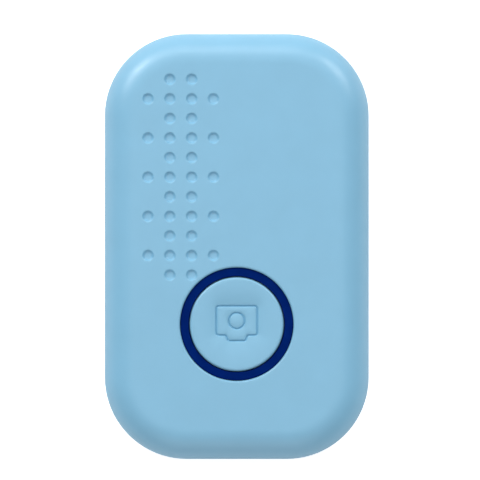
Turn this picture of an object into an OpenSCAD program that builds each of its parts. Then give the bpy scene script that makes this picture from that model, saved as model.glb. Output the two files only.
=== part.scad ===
// Pocket-size wireless finder tag: two moulded shells, a round push button in a coloured
// light ring, a field of shallow dimples, and a coin-cell door that unscrews from the back.
// The tag lies on its back: +Z points out of the face, +Y runs up its length, and the origin
// is in the middle of the back, level with the surface that it rests on. Sizes are in mm.

/* [Case] */
// Width of the case, side to side
body_w = 32.3; // [32:0.1:34]
// Length of the case, end to end
body_l = 52; // [51.5:0.1:54]
// Thickness of the case, back to face
body_h = 8.4; // [8.3:0.1:9]
// Radius of the four corners in plan
corner_r = 10; // [9.5:0.1:10]
// Rounding round the edge of the face
front_edge_r = 3.8; // [3.4:0.1:4]
// Rounding round the edge of the back
back_edge_r = 2; // [1.6:0.1:2]
// Thickness of the shells' walls
wall = 1.2; // [1.1:0.05:1.25]
// Height of the parting line above the back
split_z = 3.6; // [3.4:0.1:3.8]

/* [Push button] */
// Distance of the button below the middle of the face
button_drop = 9.4; // [8.5:0.1:10]
// Radius of the push button
button_r = 5.68; // [5.5:0.01:6]
// Outer radius of the light ring round the button
ring_r = 6.87; // [6.8:0.01:7.2]
// Depth of the light ring's face below the case
ring_recess = 0.25; // [0.1:0.05:0.4]
// How far the button goes in
button_travel = 0.3; // [0.2:0.05:0.35]
// Line width of the pictogram on the button
icon_line = 0.28; // [0.2:0.02:0.36]
// Depth of the pictogram
icon_depth = 0.12; // [0.08:0.02:0.2]

/* [Dimples] */
// Spacing of the columns of dimples
dimple_pitch_x = 2.64; // [2.4:0.02:2.7]
// Spacing of the rows of dimples
dimple_pitch_y = 2.37; // [2.2:0.01:2.5]
// Rows of dimples
dimple_rows = 11; // [5:2:11]
// Distance of the field's middle to the left of the case's middle
dimple_left = 6.78; // [6.5:0.01:7]
// Height of the top row above the middle of the case
dimple_top = 20.25; // [20:0.01:20.7]
// Radius of a dimple at the surface
dimple_r = 0.64; // [0.5:0.02:0.7]
// Depth of a dimple
dimple_depth = 0.28; // [0.1:0.02:0.3]

/* [Battery] */
// Distance of the coin cell below the middle of the case
cell_drop = 7; // [6.5:0.1:7]
// Diameter of the coin cell
cell_d = 20; // [19.6:0.1:20]
// Thickness of the coin cell
cell_h = 3.2; // [3:0.1:3.2]
// Depth of the battery door's face below the back
door_recess = 0.1; // [0.05:0.05:0.15]
// How far the battery door moves out for each full turn
door_lead = 12; // [10:1:14]

/* [Hidden] */
$fn = 64;

over = 1; // how far a cutter runs past what it cuts
sink = 0.2; // how far a boss or a rib runs into what carries it
touch = 0.02; // gap between neighbours that rest on each other
gap = 0.05; // assembly gap between fixed neighbours
slide_gap = 0.1; // gap beside what moves
screw_play = 0.15; // gap beside a screw's head or in its clearance hole
thread_fit = 0.03; // gap between a screw and its pilot hole

// Heights, from the back up
ceiling_z = body_h - wall;
door_t = 0.88;
door_top = door_recess + door_t;
shoulder_z = door_top + touch;
pad_t = 0.3;
cell_z = door_top + pad_t + touch;
spring_room = 0.4; // between the cell and the board
board_z = cell_z + cell_h + spring_room;
board_t = 0.8;
board_margin = 0.6;
board_top = board_z + board_t;
pillar_top = 3;

// Inside of the shells, in plan
inner_w = body_w - 2 * wall;
inner_l = body_l - 2 * wall;
inner_r = corner_r - wall;
inner_front_edge_r = front_edge_r - wall;
inner_back_edge_r = back_edge_r - wall / 2;
hole_edge = 0.2; // bevel round the hole for the light ring
dimple_floor_r = 0.6 * dimple_r;
rest_post_at = [12.2, 13];
rest_post_r = 0.8;
mark_r = 0.3;
mark_depth = 0.12;

// Lap joint between the shells
rebate_in = wall / 2; // from the outside to the rebate
rebate_h = 1;
tongue_h = 0.7;

// Screws: the case's four at the corners, the board's three inside
case_screw_x = body_w / 2 - 5;
case_screw_y = body_l / 2 - 5.6;
case_screw_r = 0.62;
case_head_r = 1.25;
case_head_z = 0.35;
case_head_t = 0.75;
case_screw_end = ceiling_z - 1.4;
boss_r = 1.6;
pillar_r = 1.5;
board_screw_at = [[-12, 6.6], [12, 6.6], [0, -22.2]];
board_screw_r = 0.5;
board_boss_r = 1.3;
board_head_r = 1.1;
board_head_t = 0.55;
board_screw_l = ceiling_z - board_z - 0.45;
locating_pin_at = [200, 340]; // turns round the cell of the pins that locate the cradle
locating_pin_r = 0.6;

// Button, light ring and the switch under them, from the ceiling down
ring_flange_t = 0.35;
ring_flange_r = ring_r + 1.2;
ring_bore_r = button_r + 0.12;
washer_t = 0.1;
cap_flange_t = 0.3;
cap_flange_r = ring_bore_r + 0.65;
cap_flange_top = ceiling_z - ring_flange_t - washer_t;
cap_skirt_r = button_r - 0.75;
cap_top_t = 0.8;
cap_edge_r = 0.3;
cap_post_r = 1.5;
guide_in = cap_flange_r + 0.2; // the ring's lower wall, which lights it and guides the cap
guide_h = 0.42;
ear_reach = guide_in + 0.8;
ear_w = 2;
led_r = ring_r + 0.4;
led_size = [0.8, 1.6, 0.25];
led_top = [0.7, 1, 0.35];
switch_w = 5.2;
switch_base_h = 0.9;
switch_well_r = 2;
switch_well_floor = 0.3;
cover_t = 0.12;
cover_top = board_top + 1.12;
stem_r = 1;
stem_top = cover_top + button_travel + 0.13;
stem_foot_r = 1.4;
stem_foot_t = 0.2;
dome_r = 1.8;
dome_rise = 0.45;
dome_t = 0.06;
dome_z = board_top + switch_well_floor + touch / 2;
stem_foot_z = dome_z + dome_rise + touch / 2;

// Piezo sounder, bonded under the face
buzzer_y = 12;
buzzer_r = 9;
buzzer_tape_t = 0.12;
buzzer_plate_t = 0.1;
buzzer_ceramic_r = 6.4;
buzzer_ceramic_t = 0.14;
buzzer_tape_w = 1.4;
buzzer_plate_z = ceiling_z - buzzer_tape_t - buzzer_plate_t;
buzzer_pin_r = 0.35;
buzzer_pin_base_r = 0.6;
buzzer_pin_base_h = 0.6;

// Pictogram on the button: a camera, drawn from the button's middle
icon_w = 4.96;
icon_top = 2.21;
icon_foot = -1.33;
icon_corner_r = 0.3;
finder_w = 2.62;
finder_end_w = 1.86;
finder_h = 0.67;
lens_r = 0.96;
lens_y = 0.42;

// Coin cell and its door
cell_r = cell_d / 2;
door_flange_r = cell_r + 2.9;
door_well_r = door_flange_r + 0.15;
door_skirt_r = cell_r + 0.95;
door_skirt_in = cell_r + 0.2;
door_skirt_top = 2.3;
collar_bore_r = door_skirt_r + slide_gap;
collar_r = cell_r + 2.6;
collar_base_r = door_well_r + 0.95;
collar_base_top = 2.2;
seal_in = cell_r + 1.8;
seal_out = seal_in + 0.62;
seal_t = 0.35;
seal_play = 0.04;

// Sheet metal and shape of the coin cell
can_t = 0.25;
can_edge_r = 0.3;
cell_cap_r = cell_r - 0.9;
cell_rim_drop = 0.15;
cradle_r = cell_r + 1.5;
cradle_in = cell_r + 0.3;
contact_t = 0.15;
positive_w = 3;
negative_w = 1.6;
solder_pad = 5;

// Screw thread of the door: three short starts
thread_starts = 3;
thread_width = 20; // degrees that a start covers at any one height
thread_play = 3.5; // degrees of play on each side of it
thread_r = collar_bore_r + 0.5;
thread_clear = 0.15;
thread_z = 1.25;
thread_h = 0.9;
thread_step = 7; // degrees between the points of an arc
open_turn = 40; // degrees that free the door
coin_slot_l = 11.4;
coin_slot_w = 1.7;
coin_slot_depth = 0.45;

// Parts under the circuit board: size along x, y and z, then the places of their middles
radio_chip_size = [6, 6, 0.85];
radio_chip_at = [-4.4, 14.6];
radio_crystal_size = [3.2, 2.5, 0.35];
radio_crystal_lid = [2.8, 2.1, 0.7];
radio_crystal_at = [2.2, 16.4];
clock_crystal_size = [3.2, 1.5, 0.8];
clock_crystal_at = [2.2, 12.9];
inductor_size = [4, 4, 0.4];
inductor_h = 1.8;
inductor_core_r = 1.3;
inductor_at = [7.6, 15.2];
driver_size = [2.9, 1.4, 1.1];
driver_leg = [0.4, 0.9, 0.3];
driver_at = [7.6, 10.6];
capacitor_size = [0.6, 1.1, 0.5];
capacitor_at = [[-9.2, 16.8], [-9.2, 14.8], [-9.2, 12.8], [-0.2, 10.4], [2, 10.4], [-7.4, 10],
                [-5.4, 10]];
resistor_size = [0.6, 1.1, 0.35];
resistor_at = [[-3.2, 10], [-1.6, 9.2], [4.6, 10.2], [10.8, 13.4], [10.8, 15.4]];
test_pad_r = 0.6;
test_pad_y = 20.6;
copper_t = 0.05;

// Case ----------------------------------------------------------------------------------

// Rectangle with round corners.
module plan(w, l, r) {
  square([w - 2 * r, l], center = true);
  square([w, l - 2 * r], center = true);
  for (x = [-1, 1], y = [-1, 1])
    translate([x * (w / 2 - r), y * (l / 2 - r)]) circle(r);
}

// Band of even width that follows the case's outline, inset from the outside.
module outline_band(inset, width, z, h) {
  translate([0, 0, z]) linear_extrude(h) difference() {
    plan(body_w - 2 * inset, body_l - 2 * inset, corner_r - inset);
    plan(body_w - 2 * (inset + width), body_l - 2 * (inset + width), corner_r - inset - width);
  }
}

// Half section of a slab whose top edge is rounded, from the corner's centre outwards.
module edge_section(r, edge_r, h) {
  polygon([[0, 0], [r, 0], [r, h - edge_r], [r - edge_r, h - edge_r], [r - edge_r, h], [0, h]]);
  translate([r - edge_r, h - edge_r]) intersection() {
    circle(edge_r);
    square(edge_r);
  }
}

// Slab with round corners in plan and a rounded top edge.
module soft_slab(w, l, r, edge_r, h) {
  x = w / 2 - r;
  y = l / 2 - r;
  translate([-x, -y, 0]) cube([2 * x, 2 * y, h]);
  for (quarter = [0:3])
    let (side = quarter % 2 == 0 ? [x, y] : [y, x])
      rotate(90 * quarter) translate([side[0], side[1], 0]) {
        rotate_extrude(angle = 90) edge_section(r, edge_r, h);
        rotate([90, 0, 0]) linear_extrude(2 * side[1]) edge_section(r, edge_r, h);
      }
}

module at_case_screws() {
  for (x = [-1, 1], y = [-1, 1])
    translate([x * case_screw_x, y * case_screw_y, 0]) children();
}

module at_board_screws() {
  for (p = board_screw_at) translate([p[0], p[1], 0]) children();
}

module at_button() {
  translate([0, -button_drop, 0]) children();
}

module at_cell() {
  translate([0, -cell_drop, 0]) children();
}

// Two columns run the whole field, and two outer ones have a dimple on every other row.
module at_dimples() {
  for (row = [0:dimple_rows - 1], column = [0:3])
    if (row % 2 == 1 || column == 1 || column == 2)
      translate([
        (column - 1.5) * dimple_pitch_x - dimple_left,
        dimple_top - row * dimple_pitch_y,
        0
      ]) children();
}

module front_shell() {
  color("skyblue") difference() {
    union() {
      difference() {
        translate([0, 0, split_z])
          soft_slab(body_w, body_l, corner_r, front_edge_r, body_h - split_z);
        translate([0, 0, split_z - over])
          soft_slab(inner_w, inner_l, inner_r, inner_front_edge_r, ceiling_z - split_z + over);
      }
      outline_band(rebate_in + gap, wall - rebate_in - gap, split_z - tongue_h, tongue_h + sink);
      at_case_screws() translate([0, 0, pillar_top + gap])
        cylinder(r = boss_r, h = ceiling_z - pillar_top);
      at_board_screws() translate([0, 0, board_top])
        cylinder(r = board_boss_r, h = ceiling_z - board_top + sink);
    }
    at_case_screws() translate([0, 0, pillar_top - over])
      cylinder(r = case_screw_r + thread_fit, h = case_screw_end + sink - pillar_top + over);
    at_board_screws() translate([0, 0, board_top - over])
      cylinder(r = board_screw_r + thread_fit, h = ceiling_z - board_top - sink + over);
    at_button() {
      translate([0, 0, ceiling_z - over]) cylinder(r = ring_r, h = wall + 2 * over);
      translate([0, 0, body_h - hole_edge])
        cylinder(r1 = ring_r, r2 = ring_r + 2 * hole_edge, h = 2 * hole_edge);
    }
    at_dimples() translate([0, 0, body_h - dimple_depth])
      cylinder(r1 = dimple_floor_r, r2 = 2 * dimple_r - dimple_floor_r, h = 2 * dimple_depth);
  }
}

module back_shell() {
  color("skyblue") difference() {
    union() {
      difference() {
        translate([0, 0, split_z]) rotate([180, 0, 0])
          soft_slab(body_w, body_l, corner_r, back_edge_r, split_z);
        translate([0, 0, split_z + over]) rotate([180, 0, 0])
          soft_slab(inner_w, inner_l, inner_r, inner_back_edge_r, split_z - wall + over);
        translate([0, 0, split_z - rebate_h]) linear_extrude(rebate_h + over)
          plan(body_w - 2 * rebate_in, body_l - 2 * rebate_in, corner_r - rebate_in);
      }
      at_case_screws() translate([0, 0, wall / 2])
        cylinder(r = pillar_r, h = pillar_top - wall / 2);
      at_cell() translate([0, 0, wall / 2]) {
        cylinder(r = collar_base_r, h = collar_base_top - wall / 2);
        cylinder(r = collar_r, h = pillar_top - wall / 2);
      }
      for (side = [-1, 1]) translate([side * rest_post_at[0], rest_post_at[1], wall / 2])
        cylinder(r = rest_post_r, h = board_z - gap - wall / 2);
    }
    at_case_screws() {
      translate([0, 0, -over])
        cylinder(r = case_head_r + screw_play, h = over + case_head_z + case_head_t);
      translate([0, 0, -over]) cylinder(r = case_screw_r + screw_play, h = pillar_top + 2 * over);
    }
    at_cell() {
      translate([0, 0, -over]) cylinder(r = door_well_r, h = shoulder_z + over);
      translate([0, 0, -over]) cylinder(r = collar_bore_r, h = pillar_top + 2 * over);
      thread_solid(collar_bore_r - 0.6, thread_r + thread_clear, thread_width + 2 * thread_play,
                   shoulder_z - sink, thread_z + thread_h + slide_gap);
    }
    lock_marks();
  }
}

// Dots on the back beside the door: one where it is shut, two where it comes off.
module lock_marks() {
  at_cell() for (turn = [0, -open_turn - 2, -open_turn + 2])
    rotate(turn) translate([0, door_well_r + 1, -over]) cylinder(r = mark_r, h = over + mark_depth);
}

module case_seal() {
  color("dimgray") outline_band(rebate_in + gap, wall - rebate_in - 2 * gap, split_z - rebate_h,
                                rebate_h - tongue_h - touch);
}

// Cross recess of a small screw, cut from its head's outer face at z = 0 upwards.
module cross_recess(size, depth) {
  for (turn = [0, 90]) rotate(turn)
    translate([-size / 2, -size / 8, -over]) cube([size, size / 4, over + depth]);
}

// Flat-headed screw with its head's outer face at z = 0 and its shank upwards.
module screw(head_r, head_t, shank_r, length, recess) {
  bevel = head_t / 4;
  tip = shank_r;
  difference() {
    union() {
      cylinder(r1 = head_r - bevel, r2 = head_r, h = bevel);
      translate([0, 0, bevel]) cylinder(r = head_r, h = head_t - bevel);
      translate([0, 0, head_t]) cylinder(r = shank_r, h = length - tip);
      translate([0, 0, head_t + length - tip]) cylinder(r1 = shank_r, r2 = shank_r / 3, h = tip);
    }
    cross_recess(recess, head_t / 2);
  }
}

module case_screws() {
  color("silver") at_case_screws() translate([0, 0, case_head_z])
    screw(case_head_r, case_head_t, case_screw_r, case_screw_end - case_head_z - case_head_t,
          case_head_r);
}

// Button and light ring -----------------------------------------------------------------

module light_ring() {
  color("navy") at_button() difference() {
    union() {
      translate([0, 0, ceiling_z - ring_flange_t])
        cylinder(r = ring_flange_r, h = ring_flange_t - touch);
      translate([0, 0, ceiling_z - ring_flange_t])
        cylinder(r = ring_r - gap, h = body_h - ring_recess - ceiling_z + ring_flange_t);
      translate([0, 0, ceiling_z - ring_flange_t - guide_h])
        cylinder(r = ring_flange_r, h = guide_h + sink);
    }
    translate([0, 0, ceiling_z - over]) cylinder(r = ring_bore_r, h = wall + 2 * over);
    translate([0, 0, ceiling_z - ring_flange_t - guide_h - over])
      cylinder(r = guide_in, h = guide_h + over);
    translate([-ring_flange_r - over, -ear_w / 2 - slide_gap, ceiling_z - ring_flange_t - guide_h - over])
      cube([2 * (ring_flange_r + over), ear_w + 2 * slide_gap, guide_h + over]);
  }
}

module button_washer() {
  color("gray") at_button() translate([0, 0, cap_flange_top + touch / 2]) difference() {
    cylinder(r = cap_flange_r, h = washer_t - touch);
    translate([0, 0, -over]) cylinder(r = ring_bore_r, h = 2 * over);
  }
}

// Outline of the pictogram's body with its finder at the foot end, grown outwards.
module camera_plan(grow) {
  half_w = finder_w / 2 + grow;
  end_half_w = finder_end_w / 2 + grow;
  translate([0, (icon_top + icon_foot) / 2])
    plan(icon_w + 2 * grow, icon_top - icon_foot + 2 * grow, icon_corner_r + grow);
  polygon([[-half_w, 0], [-half_w, icon_foot - grow], [-end_half_w, icon_foot - finder_h - grow],
           [end_half_w, icon_foot - finder_h - grow], [half_w, icon_foot - grow], [half_w, 0]]);
}

module camera_grooves() {
  difference() {
    camera_plan(icon_line / 2);
    camera_plan(-icon_line / 2);
  }
  translate([0, lens_y]) difference() {
    circle(lens_r + icon_line / 2);
    circle(lens_r - icon_line / 2);
  }
}

// Section of the cap from its axis out, with a rounded top edge.
module cap_section() {
  top = body_h;
  polygon([[0, top - cap_top_t], [cap_skirt_r, top - cap_top_t],
           [cap_skirt_r, cap_flange_top - cap_flange_t], [cap_flange_r, cap_flange_top - cap_flange_t],
           [cap_flange_r, cap_flange_top], [button_r, cap_flange_top],
           [button_r, top - cap_edge_r], [button_r - cap_edge_r, top - cap_edge_r],
           [button_r - cap_edge_r, top], [0, top]]);
  translate([button_r - cap_edge_r, top - cap_edge_r]) intersection() {
    circle(cap_edge_r);
    square(cap_edge_r);
  }
}

module button_cap() {
  color("skyblue") at_button() difference() {
    union() {
      rotate_extrude() cap_section();
      translate([0, 0, stem_top + touch])
        cylinder(r = cap_post_r, h = body_h - cap_top_t - stem_top);
      difference() {
        translate([-ear_reach, -ear_w / 2, cap_flange_top - cap_flange_t])
          cube([2 * ear_reach, ear_w, cap_flange_t]);
        translate([0, 0, cap_flange_top - cap_flange_t - over])
          cylinder(r = cap_skirt_r + sink, h = cap_flange_t + 2 * over);
      }
    }
    translate([0, 0, body_h - icon_depth]) linear_extrude(icon_depth + over) camera_grooves();
  }
}

// Battery door --------------------------------------------------------------------------

function arc(r, from, to) =
  let (steps = ceil(abs(to - from) / thread_step))
    [for (i = [0:steps]) let (a = from + (to - from) * i / steps) r * [cos(a), sin(a)]];

// Outline between two radii, width degrees wide and centred on +X.
function sector(r_in, r_out, width) =
  concat(arc(r_out, -width / 2, width / 2), arc(r_in, width / 2, -width / 2));

// The starts of a right-hand thread between two heights, measured on the door when shut.
module thread_solid(r_in, r_out, width, z_low, z_high) {
  turn = 360 / door_lead;
  for (start = [0:thread_starts - 1])
    rotate(start * 360 / thread_starts + turn * z_low) translate([0, 0, z_low])
      linear_extrude(z_high - z_low, twist = -turn * (z_high - z_low),
                     slices = ceil(turn * (z_high - z_low) / thread_step), segments = 1)
        polygon(sector(r_in, r_out, width));
}

module coin_slot() {
  end_x = (coin_slot_l - coin_slot_w) / 2;
  linear_extrude(coin_slot_depth + over) {
    square([2 * end_x, coin_slot_w], center = true);
    for (x = [-end_x, end_x]) translate([x, 0]) circle(coin_slot_w / 2);
  }
}

module battery_door() {
  color("skyblue") at_cell() difference() {
    union() {
      translate([0, 0, door_recess]) cylinder(r = door_flange_r, h = door_t);
      translate([0, 0, door_recess]) cylinder(r = door_skirt_r, h = door_skirt_top - door_recess);
      thread_solid(door_skirt_r - 0.3, thread_r, thread_width, thread_z, thread_z + thread_h);
    }
    translate([0, 0, door_top]) cylinder(r = door_skirt_in, h = door_skirt_top);
    translate([0, 0, door_top - seal_t]) difference() {
      cylinder(r = seal_out + seal_play, h = seal_t + over);
      translate([0, 0, -over]) cylinder(r = seal_in - seal_play, h = seal_t + 3 * over);
    }
    translate([0, 0, door_recess - over]) coin_slot();
    translate([0, door_flange_r - 1, door_recess - over]) cylinder(r = mark_r, h = over + mark_depth);
  }
}

// The ring's edges are eased by a step.
module door_seal() {
  ease = 0.1;
  color("dimgray") at_cell() translate([0, 0, door_top - seal_t + touch / 2])
    rotate_extrude() {
      translate([seal_in, 0]) square([seal_out - seal_in, seal_t - ease]);
      translate([seal_in + ease, 0]) square([seal_out - seal_in - 2 * ease, seal_t]);
    }
}

module door_pad() {
  color("darkgray") at_cell() translate([0, 0, door_top]) cylinder(r = cell_r - 3, h = pad_t);
}

// Coin cell and its contacts ------------------------------------------------------------

// Cup of sheet steel, open towards the board.
module cell_can() {
  color("silver") at_cell() translate([0, 0, cell_z]) rotate_extrude() difference() {
    square([cell_r, cell_h - cell_rim_drop]);
    translate([-over, can_t]) square([cell_r - can_t + over, cell_h]);
    translate([cell_r - can_edge_r, -over]) square([can_edge_r + over, can_edge_r + over]);
  }
  color("silver") at_cell() translate([0, 0, cell_z]) rotate_extrude()
    translate([cell_r - can_edge_r, can_edge_r]) intersection() {
      circle(can_edge_r);
      translate([0, -can_edge_r]) square(can_edge_r);
    }
}

module cell_gasket() {
  color("dimgray") at_cell() translate([0, 0, cell_z + can_t + touch]) difference() {
    cylinder(r = cell_r - can_t - gap, h = cell_h - can_t - cell_rim_drop + gap);
    translate([0, 0, -over]) cylinder(r = cell_cap_r + gap, h = cell_h + 2 * over);
  }
}

module cell_core() {
  color("black") at_cell() translate([0, 0, cell_z + can_t + touch])
    cylinder(r = cell_cap_r - can_t - gap, h = cell_h - 2 * can_t - 2 * gap);
}

// Cap of sheet steel over the core, which is the cell's negative end.
module cell_cap() {
  lift = can_t + gap;
  color("lightgray") at_cell() translate([0, 0, cell_z + lift]) difference() {
    cylinder(r = cell_cap_r, h = cell_h - lift);
    translate([0, 0, -over]) cylinder(r = cell_cap_r - can_t, h = cell_h - lift - can_t + over);
  }
}

module at_locating_pins() {
  at_cell() for (turn = locating_pin_at) rotate(turn) translate([cradle_r, 0, 0]) children();
}

// Ring round the cell with two ears, each with a pin through the board.
module battery_cradle() {
  foot = pillar_top + slide_gap;
  top = board_z - gap;
  contact_gap = 4.2;
  ear_r = 2 * locating_pin_r;
  color("ivory") difference() {
    union() {
      at_cell() translate([0, 0, foot]) cylinder(r = cradle_r, h = top - foot);
      at_locating_pins() translate([0, 0, foot]) {
        cylinder(r = ear_r, h = top - foot);
        cylinder(r = locating_pin_r, h = board_top - slide_gap - foot);
      }
    }
    at_cell() {
      translate([0, 0, foot - over]) cylinder(r = cradle_in, h = board_z + over);
      translate([-contact_gap / 2, 0, foot - over]) cube([contact_gap, cradle_r + over, board_z + over]);
    }
  }
}

// Leaf spring on the rim of the can, soldered to the board beside the cell.
module positive_contact() {
  rim = cell_r + touch;
  color("gold") at_cell() translate([-positive_w / 2, 0, board_z]) rotate([90, 0, 90])
    linear_extrude(positive_w)
      polygon([[rim + 3.2, 0], [rim + 0.6, 0], [rim, -1.05], [rim + 0.18, -1.6], [rim + 0.33, -1.55],
               [rim + contact_t, -1.05], [rim + 0.75, -contact_t], [rim + 3.2, -contact_t]]);
}

// Two leaf springs on the cell's cap, either side of a soldered plate.
module negative_contact() {
  low = -spring_room + touch / 2;
  root = solder_pad / 2;
  color("gold") at_cell() translate([0, 0, board_z]) {
    translate([-root, -root, -contact_t]) cube([solder_pad, solder_pad, contact_t]);
    for (side = [0, 180]) rotate(side) translate([0, root - 0.1, 0])
      rotate([90, 0, 0]) linear_extrude(negative_w)
        polygon([[root - 0.1, 0], [root - 0.1, -contact_t], [5.6, low], [6.4, low], [6.9, low + 0.1],
                 [6.85, low + 0.24], [6.3, low + contact_t], [5.7, low + contact_t], [root + 0.1, 0]]);
  }
}

// Circuit board and what is on it -------------------------------------------------------

module main_board() {
  color("darkgreen") difference() {
    translate([0, 0, board_z]) linear_extrude(board_t)
      plan(inner_w - 2 * board_margin, inner_l - 2 * board_margin, inner_r - board_margin);
    at_case_screws() translate([0, 0, board_z - over])
      cylinder(r = boss_r + board_margin / 2, h = board_t + 2 * over);
    at_board_screws() translate([0, 0, board_z - over])
      cylinder(r = board_screw_r + screw_play, h = board_t + 2 * over);
    at_locating_pins() translate([0, 0, board_z - over])
      cylinder(r = locating_pin_r + slide_gap, h = board_t + 2 * over);
  }
}

// Folded copper track on the face side of the board's top end.
module antenna_trace() {
  track = 0.4;
  pitch = 1.1;
  turns = 11;
  low = 21.4;
  high = 23.2;
  feed = 0.9; // track that leads to the radio
  color("orange") translate([-pitch * turns / 2, 0, board_top]) linear_extrude(copper_t) {
    for (i = [0:turns]) translate([i * pitch, low]) square([track, high - low]);
    for (i = [0:turns - 1]) translate([i * pitch, i % 2 == 0 ? high - track : low])
      square([pitch + track, track]);
    translate([turns * pitch, low - feed]) square([track, feed + track]);
  }
}

module test_pads() {
  color("gold") for (i = [-2:2]) translate([2.2 * i, test_pad_y, board_z - copper_t])
    cylinder(r = test_pad_r, h = copper_t);
}

module board_screws() {
  color("silver") at_board_screws() translate([0, 0, board_z - board_head_t])
    screw(board_head_r, board_head_t, board_screw_r, board_screw_l, board_head_r);
}

// A block that hangs under the board.
module under_board(at, size) {
  translate([at[0] - size[0] / 2, at[1] - size[1] / 2, board_z - size[2]]) cube(size);
}

module radio_chip() {
  dot_from_edge = 0.8;
  color("black") difference() {
    under_board(radio_chip_at, radio_chip_size);
    translate([radio_chip_at[0] - radio_chip_size[0] / 2 + dot_from_edge,
               radio_chip_at[1] + radio_chip_size[1] / 2 - dot_from_edge,
               board_z - radio_chip_size[2] - over])
      cylinder(r = 0.3, h = over + 0.06);
  }
}

module radio_crystal() {
  color("silver") {
    under_board(radio_crystal_at, radio_crystal_size);
    under_board(radio_crystal_at, radio_crystal_lid);
  }
}

module clock_crystal() {
  color("silver") under_board(clock_crystal_at, clock_crystal_size);
}

// Drum core between a square foot and a round flange.
module boost_inductor() {
  color("dimgray") {
    under_board(inductor_at, inductor_size);
    translate([inductor_at[0], inductor_at[1], board_z - inductor_h]) {
      cylinder(r = inductor_core_r, h = inductor_h);
      cylinder(r = inductor_size[0] / 2, h = inductor_size[2]);
    }
  }
}

module buzzer_driver() {
  color("black") {
    difference() {
      under_board(driver_at, driver_size);
      under_board(driver_at, [driver_size[0] + over, driver_size[1] + over, 0.1]);
    }
    for (leg = [[-0.95, -1], [0.95, -1], [0, 1]])
      under_board(driver_at + [leg[0], leg[1] * (driver_size[1] + driver_leg[1]) / 2.4], driver_leg);
  }
}

module chip_capacitors() {
  color("tan") for (at = capacitor_at) under_board(at, capacitor_size);
}

module chip_resistors() {
  color("black") for (at = resistor_at) under_board(at, resistor_size);
}

module ring_leds() {
  color("white") at_button() for (turn = [45:90:315])
    rotate(turn) translate([led_r, 0, board_top]) {
      translate([-led_size[0] / 2, -led_size[1] / 2, 0]) cube(led_size);
      translate([-led_top[0] / 2, -led_top[1] / 2, led_size[2]]) cube(led_top);
    }
}

// Push switch under the button ----------------------------------------------------------

module switch_base() {
  color("dimgray") at_button() difference() {
    translate([-switch_w / 2, -switch_w / 2, board_top]) cube([switch_w, switch_w, switch_base_h]);
    translate([0, 0, board_top + switch_well_floor]) cylinder(r = switch_well_r, h = switch_base_h);
  }
}

// Snap dome: a thin spherical cap that buckles when the button is pressed.
module switch_dome() {
  sphere_r = (dome_r * dome_r + dome_rise * dome_rise) / (2 * dome_rise);
  color("silver") at_button() translate([0, 0, dome_z]) rotate_extrude() intersection() {
    translate([0, dome_rise - sphere_r]) difference() {
      circle(sphere_r, $fn = 360);
      circle(sphere_r - dome_t, $fn = 360);
    }
    square([dome_r, dome_rise]);
  }
}

// Plate over the switch, with a bent-down flange on two sides.
module switch_cover() {
  flange_w = switch_w / 2;
  foot = board_top + switch_base_h + touch / 2;
  color("silver") at_button() difference() {
    translate([-switch_w / 2, -switch_w / 2, 0]) {
      translate([0, 0, cover_top - cover_t]) cube([switch_w, switch_w, cover_t]);
      for (x = [0, switch_w - cover_t]) translate([x, (switch_w - flange_w) / 2, foot])
        cube([cover_t, flange_w, cover_top - foot]);
    }
    translate([0, 0, cover_top - over]) cylinder(r = stem_r + slide_gap, h = 2 * over);
  }
}

module switch_stem() {
  color("white") at_button() {
    translate([0, 0, stem_foot_z]) cylinder(r = stem_foot_r, h = stem_foot_t);
    translate([0, 0, stem_foot_z]) cylinder(r = stem_r, h = stem_top - stem_foot_z);
  }
}

// Piezo sounder -------------------------------------------------------------------------

module at_buzzer(z) {
  translate([0, buzzer_y, z]) children();
}

module buzzer_tape() {
  color("white") at_buzzer(ceiling_z - buzzer_tape_t) difference() {
    cylinder(r = buzzer_r, h = buzzer_tape_t);
    translate([0, 0, -over]) cylinder(r = buzzer_r - buzzer_tape_w, h = 3 * over);
  }
}

module buzzer_plate() {
  color("goldenrod") at_buzzer(buzzer_plate_z) cylinder(r = buzzer_r, h = buzzer_plate_t);
}

module buzzer_ceramic() {
  color("lightgray") at_buzzer(buzzer_plate_z - buzzer_ceramic_t)
    cylinder(r = buzzer_ceramic_r, h = buzzer_ceramic_t);
}

// Sprung pins from the board: one to the ceramic, one to the plate beside it.
module buzzer_pins() {
  color("gold") for (pin = [[buzzer_ceramic_r / 3, buzzer_ceramic_t], [buzzer_r - 1.3, 0]])
    at_buzzer(board_top) translate([pin[0], 0, 0]) {
      cylinder(r = buzzer_pin_base_r, h = buzzer_pin_base_h);
      cylinder(r = buzzer_pin_r, h = buzzer_plate_z - pin[1] - board_top);
    }
}

front_shell();
back_shell();
case_seal();
case_screws();
button_cap();
light_ring();
button_washer();
battery_door();
door_seal();
door_pad();
cell_can();
cell_gasket();
cell_core();
cell_cap();
battery_cradle();
positive_contact();
negative_contact();
main_board();
antenna_trace();
test_pads();
board_screws();
radio_chip();
radio_crystal();
clock_crystal();
boost_inductor();
buzzer_driver();
chip_capacitors();
chip_resistors();
ring_leds();
switch_base();
switch_dome();
switch_cover();
switch_stem();
buzzer_tape();
buzzer_plate();
buzzer_ceramic();
buzzer_pins();
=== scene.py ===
"""Looks of a pocket finder tag, built round its packed design.

The classes hold their sizes in millimetres. A mesh becomes metres when its Skin is made an object.
"""

import logging
import math
from contextlib import contextmanager
from dataclasses import dataclass, field
from enum import Enum
from typing import Callable, Iterator, Sequence

import bmesh
import bpy
from mathutils import Matrix, Vector
from mathutils.geometry import delaunay_2d_cdt


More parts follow.
